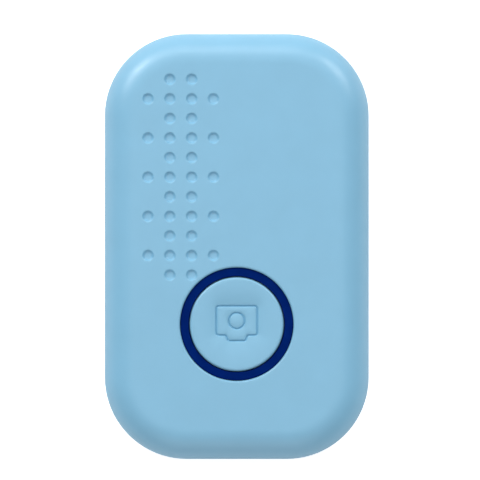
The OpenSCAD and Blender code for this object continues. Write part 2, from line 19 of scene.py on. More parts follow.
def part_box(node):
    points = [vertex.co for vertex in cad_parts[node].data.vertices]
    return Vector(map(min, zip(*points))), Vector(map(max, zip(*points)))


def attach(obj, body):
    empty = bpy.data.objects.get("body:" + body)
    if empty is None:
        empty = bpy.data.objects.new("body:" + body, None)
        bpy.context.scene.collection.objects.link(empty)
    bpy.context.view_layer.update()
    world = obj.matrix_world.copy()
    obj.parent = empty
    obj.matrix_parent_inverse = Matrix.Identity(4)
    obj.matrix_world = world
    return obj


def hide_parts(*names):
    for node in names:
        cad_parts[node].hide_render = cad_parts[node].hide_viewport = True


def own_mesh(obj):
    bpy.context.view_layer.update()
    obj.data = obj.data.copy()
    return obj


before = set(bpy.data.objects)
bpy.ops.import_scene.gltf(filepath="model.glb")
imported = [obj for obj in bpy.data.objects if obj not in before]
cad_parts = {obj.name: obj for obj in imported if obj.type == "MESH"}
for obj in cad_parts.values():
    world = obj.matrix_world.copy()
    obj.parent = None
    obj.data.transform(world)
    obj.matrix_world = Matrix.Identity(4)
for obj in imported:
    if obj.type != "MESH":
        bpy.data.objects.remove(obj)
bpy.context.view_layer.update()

LOG = logging.getLogger("finder_tag")
MM = 0.001
WELD = 1e-7  # in millimetres, between the points of a level area
TOUCH = 1e-8  # in metres, between points that are one
SHARP_ANGLE = 32.0  # in degrees
LEVEL = 0.999999  # a level face's upright share of its normal

Colour = tuple[float, float, float]
Profile = list[tuple[float, float]]
Ring = list[bmesh.types.BMVert]


class Joinery(Enum):
    """How one solid is worked with another."""

    JOIN = "UNION"
    CUT = "DIFFERENCE"


class Lay(Enum):
    """Which way the fine lines of a metal run."""

    ALONG_X = (0.08, 1.0, 1.0)
    ALONG_Y = (1.0, 0.08, 1.0)
    EVEN = (1.0, 1.0, 1.0)


# Shapes ---------------------------------------------------------------------------------


def box_mm(node: str) -> tuple[Vector, Vector]:
    """Lowest and highest corner of a CAD node, in millimetres.

    Args:
        node: name of the CAD node.

    Returns:
        The two corners.
    """
    low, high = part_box(node)
    return low / MM, high / MM


def middle(node: str) -> Vector:
    """Middle of a CAD node's box, in millimetres."""
    low, high = box_mm(node)
    return (low + high) / 2


def round_mm(node: str) -> tuple[float, float, float]:
    """Radius, foot and top of a round CAD node, in millimetres."""
    low, high = box_mm(node)
    return (high.x - low.x) / 2, low.z, high.z


def islands(node: str) -> list[tuple[Vector, Vector]]:
    """Lowest and highest corner of each separate solid of a CAD node, in millimetres.

    Args:
        node: name of the CAD node.

    Returns:
        The pairs of corners, in order of their places.
    """
    bm = bmesh.new()
    bm.from_mesh(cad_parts[node].data)
    bmesh.ops.remove_doubles(bm, verts=bm.verts, dist=WELD)
    left = set(bm.verts)
    found = []
    while left:
        front = [left.pop()]
        solid = []
        while front:
            vert = front.pop()
            solid.append(vert.co / MM)
            near = {edge.other_vert(vert) for edge in vert.link_edges} & left
            left -= near
            front += near
        found.append(tuple(Vector([pick(co[i] for co in solid) for i in range(3)]) for pick in (min, max)))
    bm.free()
    return sorted(found, key=lambda pair: tuple(round(value, 3) for value in pair[0]))


def arc(centre: tuple[float, float], radius: float, start: float, stop: float, steps: int) -> Profile:
    """Points along an arc.

    Args:
        centre: centre of the arc.
        radius: radius of the arc.
        start: angle of the first point, in degrees.
        stop: angle of the last point, in degrees.
        steps: number of chords.

    Returns:
        The points, both ends among them.
    """
    angles = [math.radians(start + (stop - start) * i / steps) for i in range(steps + 1)]
    return [(centre[0] + radius * math.cos(a), centre[1] + radius * math.sin(a)) for a in angles]


def peg(radius: float, foot: float, top: float, edge: float = 0.1) -> Profile:
    """Half section of an upright peg.

    Args:
        radius: its radius.
        foot: height of its foot.
        top: height of its top.
        edge: width of the eased edge at its top.

    Returns:
        Pairs of radius and height.
    """
    return [(0, foot), (radius, foot), (radius, top - edge), (radius - edge, top), (0, top)]


def dish(flat_r: float, rim_r: float, depth: float, softness: float, steps: int) -> Profile:
    """Half section of a soft-lipped round hollow, from its rim in to its middle.

    Args:
        flat_r: radius of the level floor.
        rim_r: radius where the hollow meets the surface.
        depth: depth of the floor.
        softness: how gently the lip starts, 1 for a wall that is alike at both ends.
        steps: chords between the rim and the floor.

    Returns:
        Pairs of radius and height, with the surface at height 0.
    """
    points = []
    for i in range(steps + 1):
        share = i / steps
        fall = (0.5 - 0.5 * math.cos(math.pi * share)) ** softness
        points.append((rim_r + (flat_r - rim_r) * share, -depth * fall))
    return points + [(0.0, -depth)]


@dataclass(frozen=True)
class Outline:
    """Rounded rectangle that every level of the case follows.

    Its loops have the same points in the same order at any inset, so they join one to one.
    """

    half_w: float
    half_l: float
    corner_r: float
    corner_steps: int = 20
    side_steps: int = 6

    def loop(self, inset: float, z: float) -> list[Vector]:
        """Points of the outline, drawn in by an inset, anticlockwise from above.

        Args:
            inset: distance in from the outline.
            z: height of the loop.

        Returns:
            The points.
        """
        x, y, r = self.half_w - self.corner_r, self.half_l - self.corner_r, self.corner_r - inset
        corners = ((x, y), (-x, y), (-x, -y), (x, -y))
        points: list[Vector] = []
        for quarter, (cx, cy) in enumerate(corners):
            turn = arc((cx, cy), r, 90.0 * quarter, 90.0 * quarter + 90.0, self.corner_steps)
            points += [Vector((px, py, z)) for px, py in turn]
            end = points[-1]
            nx, ny = corners[(quarter + 1) % 4]
            angle = math.radians(90.0 * quarter + 90.0)
            start = Vector((nx + r * math.cos(angle), ny + r * math.sin(angle), z))
            points += [end.lerp(start, i / self.side_steps) for i in range(1, self.side_steps)]
        return points


@dataclass(frozen=True)
class FilletedPath:
    """Closed path through corners that are rounded, with the outward direction at each point."""

    points: tuple[Vector, ...]
    outward: tuple[Vector, ...]

    @classmethod
    def through(cls, corners: Sequence[tuple[float, float, float]], steps: int = 7) -> "FilletedPath":
        """Rounds the corners of a polygon that runs anticlockwise.

        Args:
            corners: x, y and fillet radius of each corner.
            steps: chords in each fillet.

        Returns:
            The path.
        """
        points, outward = [], []
        count = len(corners)
        for i, (x, y, r) in enumerate(corners):
            here = Vector((x, y))
            into = (here - Vector(corners[i - 1][:2])).normalized()
            out = (Vector(corners[(i + 1) % count][:2]) - here).normalized()
            turn = math.atan2(into.cross(out), into.dot(out))
            back = r * math.tan(abs(turn) / 2)
            side = 1.0 if turn > 0 else -1.0
            first_normal = Vector((into.y, -into.x))
            centre = here - into * back - first_normal * r * side
            for k in range(steps + 1):
                normal = Matrix.Rotation(turn * k / steps, 2) @ first_normal
                points.append(centre + normal * r * side)
                outward.append(normal)
        return cls(tuple(points), tuple(outward))

    @classmethod
    def cross(cls, reach: float, half_w: float, corner_r: float) -> "FilletedPath":
        """A plus sign.

        Args:
            reach: length of an arm from the middle.
            half_w: half the width of an arm.
            corner_r: fillet radius of every corner.

        Returns:
            The path.
        """
        arm = [Vector((half_w, -half_w)), Vector((reach, -half_w)), Vector((reach, half_w))]
        corners = []
        for quarter in range(4):
            turn = Matrix.Rotation(math.radians(90 * quarter), 2)
            corners += [(*(turn @ corner), corner_r) for corner in arm]
        return cls.through(corners, 3)

    @classmethod
    def circle(cls, centre: tuple[float, float], radius: float, steps: int) -> "FilletedPath":
        """A round path.

        Args:
            centre: its centre.
            radius: its radius.
            steps: number of chords.

        Returns:
            The path.
        """
        outward = [Vector((math.cos(2 * math.pi * i / steps), math.sin(2 * math.pi * i / steps)))
                   for i in range(steps)]
        return cls(tuple(Vector(centre) + n * radius for n in outward), tuple(outward))

    def loop(self, shift: float, origin: Vector, z: float) -> list[Vector]:
        """The path grown outwards.

        Args:
            shift: distance outwards.
            origin: where the path's own zero lies in plan.
            z: height of the loop.

        Returns:
            The points.
        """
        return [Vector((origin.x + p.x + n.x * shift, origin.y + p.y + n.y * shift, z))
                for p, n in zip(self.points, self.outward)]


def inside(point: Vector, polygon: Sequence[Vector]) -> bool:
    """Whether a point lies inside a polygon in plan.

    Args:
        point: the point.
        polygon: the polygon's corners.

    Returns:
        True where it does.
    """
    hit = False
    for i, a in enumerate(polygon):
        b = polygon[i - 1]
        if (a.y > point.y) != (b.y > point.y):
            if point.x < a.x + (point.y - a.y) * (b.x - a.x) / (b.y - a.y):
                hit = not hit
    return hit


class Skin:
    """A closed surface while it is being made, in millimetres."""

    def __init__(self) -> None:
        """Starts with no faces."""
        self.bm = bmesh.new()

    def ring(self, points: Sequence[Vector]) -> Ring:
        """Adds a ring of vertices."""
        return [self.bm.verts.new(p) for p in points]

    def circle(self, centre: Vector, radius: float, z: float, steps: int) -> Ring:
        """Adds a level circle of vertices.

        Args:
            centre: its centre in plan.
            radius: its radius.
            z: its height.
            steps: number of vertices.

        Returns:
            The ring.
        """
        turn = arc(centre.xy, radius, 0, 360, steps)[:-1]
        return self.ring([Vector((x, y, z)) for x, y in turn])

    def bridge(self, first: Ring, second: Ring) -> Ring:
        """Joins two rings of the same count with quads.

        Args:
            first: the ring to start from.
            second: the ring to end at.

        Returns:
            The second ring.
        """
        for i in range(len(first)):
            j = (i + 1) % len(first)
            self.bm.faces.new((first[i], first[j], second[j], second[i]))
        return second

    def climb(self, ring: Ring, levels: Sequence[Sequence[Vector]]) -> Ring:
        """Joins a ring to further loops of points, one after another.

        Args:
            ring: the ring to start from.
            levels: the loops of points.

        Returns:
            The last ring.
        """
        for points in levels:
            ring = self.bridge(ring, self.ring(points))
        return ring

    def loft(self, levels: Sequence[Sequence[Vector]]) -> tuple[Ring, Ring]:
        """Joins loops of points, and returns the first and the last ring."""
        first = self.ring(levels[0])
        return first, self.climb(first, levels[1:])

    def bar(self, levels: Sequence[Sequence[Vector]]) -> None:
        """Adds a solid through loops of points, with level ends."""
        for end in self.loft(levels):
            self.level(end)

    def cone(self, ring: Ring, tip: Vector) -> None:
        """Closes a ring to one point.

        Args:
            ring: the ring.
            tip: the point.
        """
        top = self.bm.verts.new(tip)
        for i, vert in enumerate(ring):
            self.bm.faces.new((vert, ring[(i + 1) % len(ring)], top))

    def lathe(self, centre: Vector, profile: Profile, steps: int, start: Ring | None = None) -> Ring:
        """Turns a profile round an upright axis.

        Args:
            centre: where the axis stands in plan.
            profile: radius and height of each level, in order; a last radius of 0 closes it.
            steps: vertices in each ring.
            start: a ring that is there already, which the first level joins.

        Returns:
            The last ring.
        """
        ring = start
        for radius, z in profile:
            if radius <= 0:
                self.cone(ring, Vector((centre.x, centre.y, z)))
                return ring
            level = self.circle(centre, radius, z, steps)
            ring = level if ring is None else self.bridge(ring, level)
        return ring

    def turned(self, centre: Vector, profile: Profile, steps: int) -> None:
        """Adds a turned solid whose profile starts and ends on its axis or closes on itself.

        Args:
            centre: where the axis stands in plan.
            profile: radius and height of each level, in order.
            steps: vertices in each ring.
        """
        if profile[0][0] <= 0:
            first = self.circle(centre, profile[1][0], profile[1][1], steps)
            self.cone(first, Vector((centre.x, centre.y, profile[0][1])))
            self.lathe(centre, profile[2:], steps, first)
        else:
            first = self.circle(centre, profile[0][0], profile[0][1], steps)
            self.bridge(self.lathe(centre, profile[1:], steps, first), first)

    def prism(self, path: FilletedPath, origin: Vector, low: float, high: float) -> None:
        """Adds an upright prism.

        Args:
            path: its outline.
            origin: where the outline's own zero lies in plan.
            low: height of its foot.
            high: height of its top.
        """
        self.bar([path.loop(0.0, origin, z) for z in (low, high)])

    def level(self, outer: Ring, holes: Sequence[Ring] = ()) -> None:
        """Fills the level area between an outer ring and the rings of its holes.

        Args:
            outer: ring round the area.
            holes: rings inside it that stay open.
        """
        loops = [outer, *holes]
        verts = [v for loop in loops for v in loop]
        owner = [k for k, loop in enumerate(loops) for _ in loop]
        edges, first = [], 0
        for loop in loops:
            edges += [(first + i, first + (i + 1) % len(loop)) for i in range(len(loop))]
            first += len(loop)
        found = delaunay_2d_cdt([v.co.xy for v in verts], edges, [], 1, WELD)
        for face in found[2]:
            ids = [found[3][i][0] for i in face]
            hole = owner[ids[0]]
            if hole > 0 and all(owner[i] == hole for i in ids):
                centroid = sum((verts[i].co for i in ids), Vector()) / 3
                if inside(centroid, [v.co for v in loops[hole]]):
                    continue
            self.bm.faces.new([verts[i] for i in ids])

    def block(self, low: Sequence[float], high: Sequence[float], bevel: float = 0.0) -> None:
        """Adds a box, with its edges eased.

        Args:
            low: lowest corner.
            high: highest corner.
            bevel: width of the eased edge.
        """
        size = Vector(high) - Vector(low)
        verts = bmesh.ops.create_cube(self.bm, size=1.0)["verts"]
        for v in verts:
            v.co = Vector(low) + Vector([(v.co[i] + 0.5) * size[i] for i in range(3)])
        if bevel > 0:
            edges = list({e for v in verts for e in v.link_edges})
            bmesh.ops.bevel(self.bm, geom=edges, offset=bevel, segments=2, profile=0.5, affect="EDGES")

    def made(self, name: str, outward: bool = True) -> bpy.types.Object:
        """Turns the surface into an object, in metres.

        Args:
            name: name of the object.
            outward: whether its faces are turned outwards first.

        Returns:
            The object.
        """
        bmesh.ops.remove_doubles(self.bm, verts=self.bm.verts, dist=TOUCH / MM)
        if outward:
            bmesh.ops.recalc_face_normals(self.bm, faces=self.bm.faces)
        bmesh.ops.transform(self.bm, matrix=Matrix.Scale(MM, 4), verts=self.bm.verts)
        mesh = bpy.data.meshes.new(name)
        self.bm.to_mesh(mesh)
        self.bm.free()
        piece = shown(name, mesh)
        ease(piece)
        return piece


@contextmanager
def reworked(mesh: bpy.types.Mesh) -> Iterator[bmesh.types.BMesh]:
    """Opens a mesh for editing, and writes it back at the end.

    Args:
        mesh: the mesh.

    Yields:
        Its editable form.
    """
    bm = bmesh.new()
    bm.from_mesh(mesh)
    yield bm
    bm.to_mesh(mesh)
    bm.free()


def shown(name: str, mesh: bpy.types.Mesh) -> bpy.types.Object:
    """Puts a mesh into the scene.

    Args:
        name: name of the object.
        mesh: its mesh.

    Returns:
        The object.
    """
    piece = bpy.data.objects.new(name, mesh)
    bpy.context.scene.collection.objects.link(piece)
    return piece


def ease(piece: bpy.types.Object, crisp_levels: bool = False) -> None:
    """Shades a piece smooth, but for its sharp edges.

    Args:
        piece: the mesh object.
        crisp_levels: whether the edges round level faces are kept crisp, so that large flats shade flat.
    """
    limit = math.radians(SHARP_ANGLE)
    with reworked(piece.data) as bm:
        bm.normal_update()
        for face in bm.faces:
            face.smooth = True
        for edge in bm.edges:
            levels = sum(abs(face.normal.z) > LEVEL for face in edge.link_faces)
            edge.smooth = (len(edge.link_faces) == 2 and edge.calc_face_angle(0.0) < limit
                           and not (crisp_levels and levels == 1))


def settle(piece: bpy.types.Object) -> None:
    """Replaces a piece's mesh with what its modifiers make of it, and removes them.

    Args:
        piece: the mesh object.
    """
    bpy.context.view_layer.update()
    graph = bpy.context.evaluated_depsgraph_get()
    mesh = bpy.data.meshes.new_from_object(piece.evaluated_get(graph), depsgraph=graph)
    piece.modifiers.clear()
    old = piece.data
    piece.data = mesh
    mesh.name = piece.name
    bpy.data.meshes.remove(old)


def discard(piece: bpy.types.Object) -> None:
    """Removes a helper object and its mesh."""
    bpy.data.meshes.remove(piece.data)


def work(piece: bpy.types.Object, tool: bpy.types.Object, joinery: Joinery) -> None:
    """Joins a tool solid to a piece or cuts it from the piece, and discards the tool.

    Args:
        piece: the piece that is worked.
        tool: the closed solid that is added or taken away.
        joinery: which of the two.
    """
    modifier = piece.modifiers.new("work", "BOOLEAN")
    modifier.operation = joinery.value
    modifier.solver = "EXACT"
    modifier.object = tool
    settle(piece)
    discard(tool)
    with reworked(piece.data) as bm:
        bmesh.ops.remove_doubles(bm, verts=bm.verts, dist=TOUCH)
        bmesh.ops.dissolve_degenerate(bm, edges=bm.edges, dist=TOUCH / 10)
    ease(piece, crisp_levels=True)


# Node trees -----------------------------------------------------------------------------


class Sketch:
    """A hand for laying out and wiring a node tree."""

    def __init__(self, tree: bpy.types.NodeTree) -> None:
        """Takes the tree that is drawn on."""
        self.tree = tree

    def node(self, kind: str, inputs: dict[str | int, object] | None = None,
             **settings: object) -> bpy.types.Node:
        """Adds a node.

        Args:
            kind: the node's type name.
            inputs: values of its sockets, or the sockets that feed them, by name or place.
            settings: values of its properties.

        Returns:
            The node.
        """
        made = self.tree.nodes.new(kind)
        for name, value in settings.items():
            setattr(made, name, value)
        for key, value in (inputs or {}).items():
            if isinstance(value, bpy.types.NodeSocket):
                self.tree.links.new(value, made.inputs[key])
            else:
                made.inputs[key].default_value = value
        return made

    def out(self, kind: str, inputs: dict[str | int, object] | None = None,
            **settings: object) -> bpy.types.NodeSocket:
        """Adds a node as node() does, and returns its first output."""
        return self.node(kind, inputs, **settings).outputs[0]

    def maths(self, operation: str, *values: object) -> bpy.types.NodeSocket:
        """Adds a Math node and returns its result."""
        return self.out("ShaderNodeMath", dict(enumerate(values)), operation=operation)

    def noise(self, place: bpy.types.NodeSocket, size: float, detail: float) -> bpy.types.NodeSocket:
        """Adds a noise.

        Args:
            place: coordinates in metres.
            size: size of its patches, in millimetres.
            detail: levels of finer noise on it.

        Returns:
            Its value, from 0 to 1.
        """
        return self.out("ShaderNodeTexNoise", {"Vector": place, "Scale": 1 / (size * MM), "Detail": detail})

    def ranged(self, value: bpy.types.NodeSocket, low: float, high: float, to_low: float = 0.0,
               to_high: float = 1.0) -> bpy.types.NodeSocket:
        """Stretches a value from one range to another.

        Args:
            value: the value.
            low: value that becomes to_low.
            high: value that becomes to_high.
            to_low: lowest result.
            to_high: highest result.

        Returns:
            The result.
        """
        return self.out("ShaderNodeMapRange", {"Value": value, "From Min": low, "From Max": high,
                                               "To Min": to_low, "To Max": to_high})

    def bump(self, height: bpy.types.NodeSocket, depth: float) -> bpy.types.NodeSocket:
        """Adds a relief of a depth in millimetres, and returns its normal."""
        return self.out("ShaderNodeBump", {"Height": height, "Distance": depth * MM})

    def mottled(self, place: bpy.types.NodeSocket, colour: Colour, spread: float,
                size: float) -> bpy.types.NodeSocket:
        """A colour that varies a little over the surface.

        Args:
            place: coordinates in metres.
            colour: the colour in the middle of the range.
            spread: share by which it goes up and down.
            size: size of the patches, in millimetres.

        Returns:
            The colour socket.
        """
        tone = self.ranged(self.noise(place, size, 3.0), 0.25, 0.75, 1 - spread, 1 + spread)
        base = self.out("ShaderNodeRGB")
        base.default_value = (*colour, 1.0)
        return self.out("ShaderNodeVectorMath", {0: base, 1: tone}, operation="MULTIPLY")


class Finish:
    """A material that is made once and kept."""

    name: str

    def sockets(self, sketch: Sketch, place: bpy.types.NodeSocket) -> dict[str, object]:
        """Lays out the nodes of the material.

        Args:
            sketch: the material's sketch.
            place: Object coordinates.

        Returns:
            What goes into the Principled shader, by socket.
        """
        raise NotImplementedError

    def material(self) -> bpy.types.Material:
        """The material, made on the first call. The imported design's own materials have the plain names."""
        label = f"{self.name}_finish"
        known = bpy.data.materials.get(label)
        if known is not None:
            return known
        made = bpy.data.materials.new(label)
        made.use_nodes = True
        made.node_tree.nodes.clear()
        sketch = Sketch(made.node_tree)
        place = sketch.node("ShaderNodeTexCoord").outputs["Object"]
        shader = sketch.out("ShaderNodeBsdfPrincipled", self.sockets(sketch, place))
        sketch.node("ShaderNodeOutputMaterial", {"Surface": shader})
        return made


class NodeTool:
    """A Geometry Nodes tree with named inputs, and the means to run it on a piece."""

    def __init__(self, name: str, inputs: dict[str, str],
                 draw: Callable[[Sketch, bpy.types.NodeOutputs], bpy.types.NodeSocket]) -> None:
        """Builds the tree.

        Args:
            name: name of the tree.
            inputs: socket type of each input after the geometry, by name.
            draw: lays out the nodes, given the sketch and the tree's inputs, and returns the geometry.
        """
        self.tree = bpy.data.node_groups.new(name, "GeometryNodeTree")
        face = self.tree.interface
        face.new_socket("Geometry", in_out="INPUT", socket_type="NodeSocketGeometry")
        self.keys = {label: face.new_socket(label, in_out="INPUT", socket_type=kind).identifier
                     for label, kind in {**inputs, "Finish": "NodeSocketMaterial"}.items()}
        face.new_socket("Geometry", in_out="OUTPUT", socket_type="NodeSocketGeometry")
        sketch = Sketch(self.tree)
        get = sketch.node("NodeGroupInput").outputs
        real = sketch.out("GeometryNodeRealizeInstances", {0: draw(sketch, get)})
        dressed = sketch.out("GeometryNodeSetMaterial", {"Geometry": real, "Material": get["Finish"]})
        sketch.node("NodeGroupOutput", {0: dressed})

    def run(self, piece: bpy.types.Object, finish: Finish, **values: object) -> None:
        """Runs the tree on a piece and keeps the result as its plain mesh.

        Args:
            piece: the object that gives the geometry, and takes the result.
            finish: the finish of the result.
            values: the tree's inputs, by name with underscores for spaces.
        """
        modifier = piece.modifiers.new(self.tree.name, "NODES")
        modifier.node_group = self.tree
        for label, value in {**values, "Finish": finish.material()}.items():
            modifier[self.keys[label.replace("_", " ")]] = value
        settle(piece)


def original(sketch: Sketch, source: bpy.types.NodeSocket) -> bpy.types.NodeSocket:
    """Geometry of the object that a socket names, as it lies about its own origin."""
    return sketch.node("GeometryNodeObjectInfo", {"Object": source},
                       transform_space="ORIGINAL").outputs["Geometry"]


def draw_dimple_field(sketch: Sketch, get: bpy.types.NodeOutputs) -> bpy.types.NodeSocket:
    """Lays out the tree that sets the dimples' cups into the holes of the face.

    Args:
        sketch: the tree's sketch.
        get: the tree's inputs.

    Returns:
        The shell's geometry with the cups welded in.
    """
    maths, columns, rows = sketch.maths, get["Columns"], get["Rows"]
    span_x = maths("MULTIPLY", get["Pitch X"], maths("SUBTRACT", columns, 1.0))
    span_y = maths("MULTIPLY", get["Pitch Y"], maths("SUBTRACT", rows, 1.0))
    grid = sketch.out("GeometryNodeMeshGrid", {"Size X": span_x, "Size Y": span_y,
                                               "Vertices X": columns, "Vertices Y": rows})
    index = sketch.out("GeometryNodeInputIndex")
    column = maths("FLOOR", maths("DIVIDE", index, rows))
    even_row = maths("LESS_THAN", maths("MODULO", maths("MODULO", index, rows), 2.0), 0.5)
    outer = maths("ADD", maths("LESS_THAN", column, 0.5),
                  maths("GREATER_THAN", column, maths("SUBTRACT", columns, 1.5)))
    kept = sketch.out("GeometryNodeDeleteGeometry",
                      {"Geometry": grid, "Selection": maths("MULTIPLY", even_row, outer)}, domain="POINT")
    places = sketch.out("GeometryNodeTransform", {"Geometry": kept, "Translation": get["Middle"]})
    cups = sketch.out("GeometryNodeInstanceOnPoints", {"Points": places,
                                                       "Instance": original(sketch, get["Cup"])})
    joined = sketch.node("GeometryNodeJoinGeometry")
    for part in (sketch.out("GeometryNodeRealizeInstances", {0: cups}), get["Geometry"]):
        sketch.tree.links.new(part, joined.inputs[0])
    return sketch.out("GeometryNodeMergeByDistance", {"Geometry": joined.outputs[0], "Distance": get["Weld"]})


def draw_repeat(sketch: Sketch, get: bpy.types.NodeOutputs) -> bpy.types.NodeSocket:
    """Lays out the tree that puts one part at every point, turned by the point's own angle.

    Args:
        sketch: the tree's sketch.
        get: the tree's inputs.

    Returns:
        The instances.
    """
    points = sketch.out("GeometryNodeMeshToPoints", {"Mesh": get["Geometry"]})
    turn = sketch.out("GeometryNodeInputNamedAttribute", {"Name": "turn"}, data_type="FLOAT")
    rotation = sketch.out("FunctionNodeEulerToRotation", {0: sketch.out("ShaderNodeCombineXYZ", {"Z": turn})})
    return sketch.out("GeometryNodeInstanceOnPoints", {"Points": points, "Rotation": rotation,
                                                       "Instance": original(sketch, get["Part"])})


def draw_bead(sketch: Sketch, get: bpy.types.NodeOutputs) -> bpy.types.NodeSocket:
    """Lays out the tree that runs a soft rectangular bead along a closed path.

    Args:
        sketch: the tree's sketch.
        get: the tree's inputs.

    Returns:
        The bead's mesh.
    """
    path = sketch.out("GeometryNodeMeshToCurve", {"Mesh": get["Geometry"]})
    flat = sketch.out("GeometryNodeSetCurveNormal", {"Curve": path}, mode="Z_UP")
    section = sketch.out("GeometryNodeCurvePrimitiveQuadrilateral", {"Width": get["Width"],
                                                                     "Height": get["Height"]})
    soft = sketch.out("GeometryNodeFilletCurve", {"Curve": section, "Radius": get["Edge"], "Count": 4},
                      mode="POLY")
    return sketch.out("GeometryNodeCurveToMesh", {"Curve": flat, "Profile Curve": soft})


FLOAT, INTEGER, VECTOR, OBJECT = (f"NodeSocket{kind}" for kind in ("Float", "Int", "Vector", "Object"))
DIMPLE_FIELD = NodeTool("dimple_field", {"Cup": OBJECT, "Columns": INTEGER, "Rows": INTEGER,
                                         "Pitch X": FLOAT, "Pitch Y": FLOAT, "Middle": VECTOR,
                                         "Weld": FLOAT}, draw_dimple_field)
REPEAT = NodeTool("repeat_part", {"Part": OBJECT}, draw_repeat)
BEAD = NodeTool("bead", {"Width": FLOAT, "Height": FLOAT, "Edge": FLOAT}, draw_bead)


def repeated(name: str, part: bpy.types.Object, places: Sequence[tuple[Vector, float]],
             finish: Finish) -> bpy.types.Object:
    """One piece made of a part at several places.

    Args:
        name: name of the piece.
        part: the part at the origin, which is discarded afterwards.
        places: position in millimetres and turn in degrees of each.
        finish: its finish.

    Returns:
        The piece.
    """
    mesh = bpy.data.meshes.new(name)
    mesh.from_pydata([p * MM for p, _ in places], [], [])
    turns = mesh.attributes.new("turn", "FLOAT", "POINT")
    turns.data.foreach_set("value", [math.radians(turn) for _, turn in places])
    piece = shown(name, mesh)
    REPEAT.run(piece, finish, Part=part)
    discard(part)
    ease(piece)
    return piece


def bead(name: str, loop: Sequence[Vector], width: float, height: float, edge: float,
         finish: Finish) -> bpy.types.Object:
    """A seal or a strip that follows a closed path.

    Args:
        name: name of the piece.
        loop: points of its middle line, in millimetres.
        width: width across the path.
        height: its height.
        edge: radius of its edges.
        finish: its finish.

    Returns:
        The piece.
    """
    mesh = bpy.data.meshes.new(name)
    mesh.from_pydata([p * MM for p in loop], [(i, (i + 1) % len(loop)) for i in range(len(loop))], [])
    piece = shown(name, mesh)
    BEAD.run(piece, finish, Width=width * MM, Height=height * MM, Edge=edge * MM)
    with reworked(piece.data) as bm:
        bmesh.ops.remove_doubles(bm, verts=bm.verts, dist=TOUCH)
        bmesh.ops.recalc_face_normals(bm, faces=bm.faces)
    ease(piece)
    return piece


# Finishes -------------------------------------------------------------------------------


@dataclass(frozen=True)
class MouldedPlastic(Finish):
    """Plastic with the fine texture of its mould."""

    name: str
    colour: Colour
    roughness: float = 0.45
    grain_mm: float = 0.16
    grain_depth: float = 0.004
    mottle: float = 0.02
    coat: float = 0.0
    specular: float = 0.5

    def sockets(self, sketch: Sketch, place: bpy.types.NodeSocket) -> dict[str, object]:
        """Mottled colour, worn gloss and grain.

        Args:
            sketch: the material's sketch.
            place: Object coordinates.

        Returns:
            What goes into the Principled shader, by socket.
        """
        wear = sketch.noise(place, 1.2, 4.0)
        return {"Base Color": sketch.mottled(place, self.colour, self.mottle, 3.5),
                "Roughness": sketch.ranged(wear, 0.3, 0.7, self.roughness - 0.04, self.roughness + 0.04),
                "Normal": sketch.bump(sketch.noise(place, self.grain_mm, 2.0), self.grain_depth),
                "Coat Weight": self.coat, "Coat Roughness": 0.08, "Specular IOR Level": self.specular}


@dataclass(frozen=True)
class LightPlastic(Finish):
    """Tinted plastic that lets the lamps through, a little deeper in colour in its swirls."""

    name: str
    colour: Colour

    def sockets(self, sketch: Sketch, place: bpy.types.NodeSocket) -> dict[str, object]:
        """Swirled colour, haze and a faint wave.

        Args:
            sketch: the material's sketch.
            place: Object coordinates.

        Returns:
            What goes into the Principled shader, by socket.
        """
        return {"Base Color": sketch.mottled(place, self.colour, 0.12, 1.4),
                "Normal": sketch.bump(sketch.noise(place, 0.5, 2.0), 0.002),
                "Roughness": sketch.ranged(sketch.noise(place, 0.6, 3.0), 0.0, 1.0, 0.2, 0.34),
                "Specular IOR Level": 0.0}


@dataclass(frozen=True)
class Elastomer(Finish):
    """Rubber, silicone or foam, with specks and pores."""

    name: str
    colour: Colour
    pore_mm: float = 0.12
    pore_depth: float = 0.01
    roughness: float = 0.75

    def sockets(self, sketch: Sketch, place: bpy.types.NodeSocket) -> dict[str, object]:
        """Mottled colour and pores.

        Args:
            sketch: the material's sketch.
            place: Object coordinates.

        Returns:
            What goes into the Principled shader, by socket.
        """
        cells = sketch.out("ShaderNodeTexVoronoi", {"Vector": place, "Scale": 1 / (self.pore_mm * MM)})
        return {"Base Color": sketch.mottled(place, self.colour, 0.15, 0.6), "Roughness": self.roughness,
                "Normal": sketch.bump(cells, self.pore_depth)}


@dataclass(frozen=True)
class WorkedMetal(Finish):
    """Sheet or turned metal with fine lines, straight or round a centre."""

    name: str
    colour: Colour
    lay: Lay = Lay.EVEN
    line_mm: float = 0.05
    roughness: float = 0.3
    round_centre: tuple[float, float] | None = None

    def lines(self, sketch: Sketch, place: bpy.types.NodeSocket) -> bpy.types.NodeSocket:
        """Coordinates that are drawn out along the lines.

        Args:
            sketch: the material's sketch.
            place: Object coordinates.

        Returns:
            The coordinates.
        """
        if self.round_centre is None:
            return sketch.out("ShaderNodeMapping", {"Vector": place, "Scale": self.lay.value})
        maths = sketch.maths
        origin = tuple(-value * MM for value in self.round_centre)
        centred = sketch.out("ShaderNodeMapping", {"Vector": place, "Location": (*origin, 0.0)})
        x, y, z = sketch.node("ShaderNodeSeparateXYZ", {0: centred}).outputs
        reach = maths("SQRT", maths("ADD", maths("POWER", x, 2.0), maths("POWER", y, 2.0)))
        turn = maths("MULTIPLY", maths("ARCTAN2", y, x), 0.8 * self.line_mm * MM)
        return sketch.out("ShaderNodeCombineXYZ", {0: reach, 1: turn, 2: z})

    def sockets(self, sketch: Sketch, place: bpy.types.NodeSocket) -> dict[str, object]:
        """Metal with its lines in gloss and relief.

        Args:
            sketch: the material's sketch.
            place: Object coordinates.

        Returns:
            What goes into the Principled shader, by socket.
        """
        lines = sketch.noise(self.lines(sketch, place), self.line_mm, 3.0)
        return {"Metallic": 1.0, "Base Color": sketch.mottled(place, self.colour, 0.06, 2.0),
                "Roughness": sketch.ranged(lines, 0.3, 0.7, self.roughness - 0.08, self.roughness + 0.1),
                "Normal": sketch.bump(lines, 0.001)}


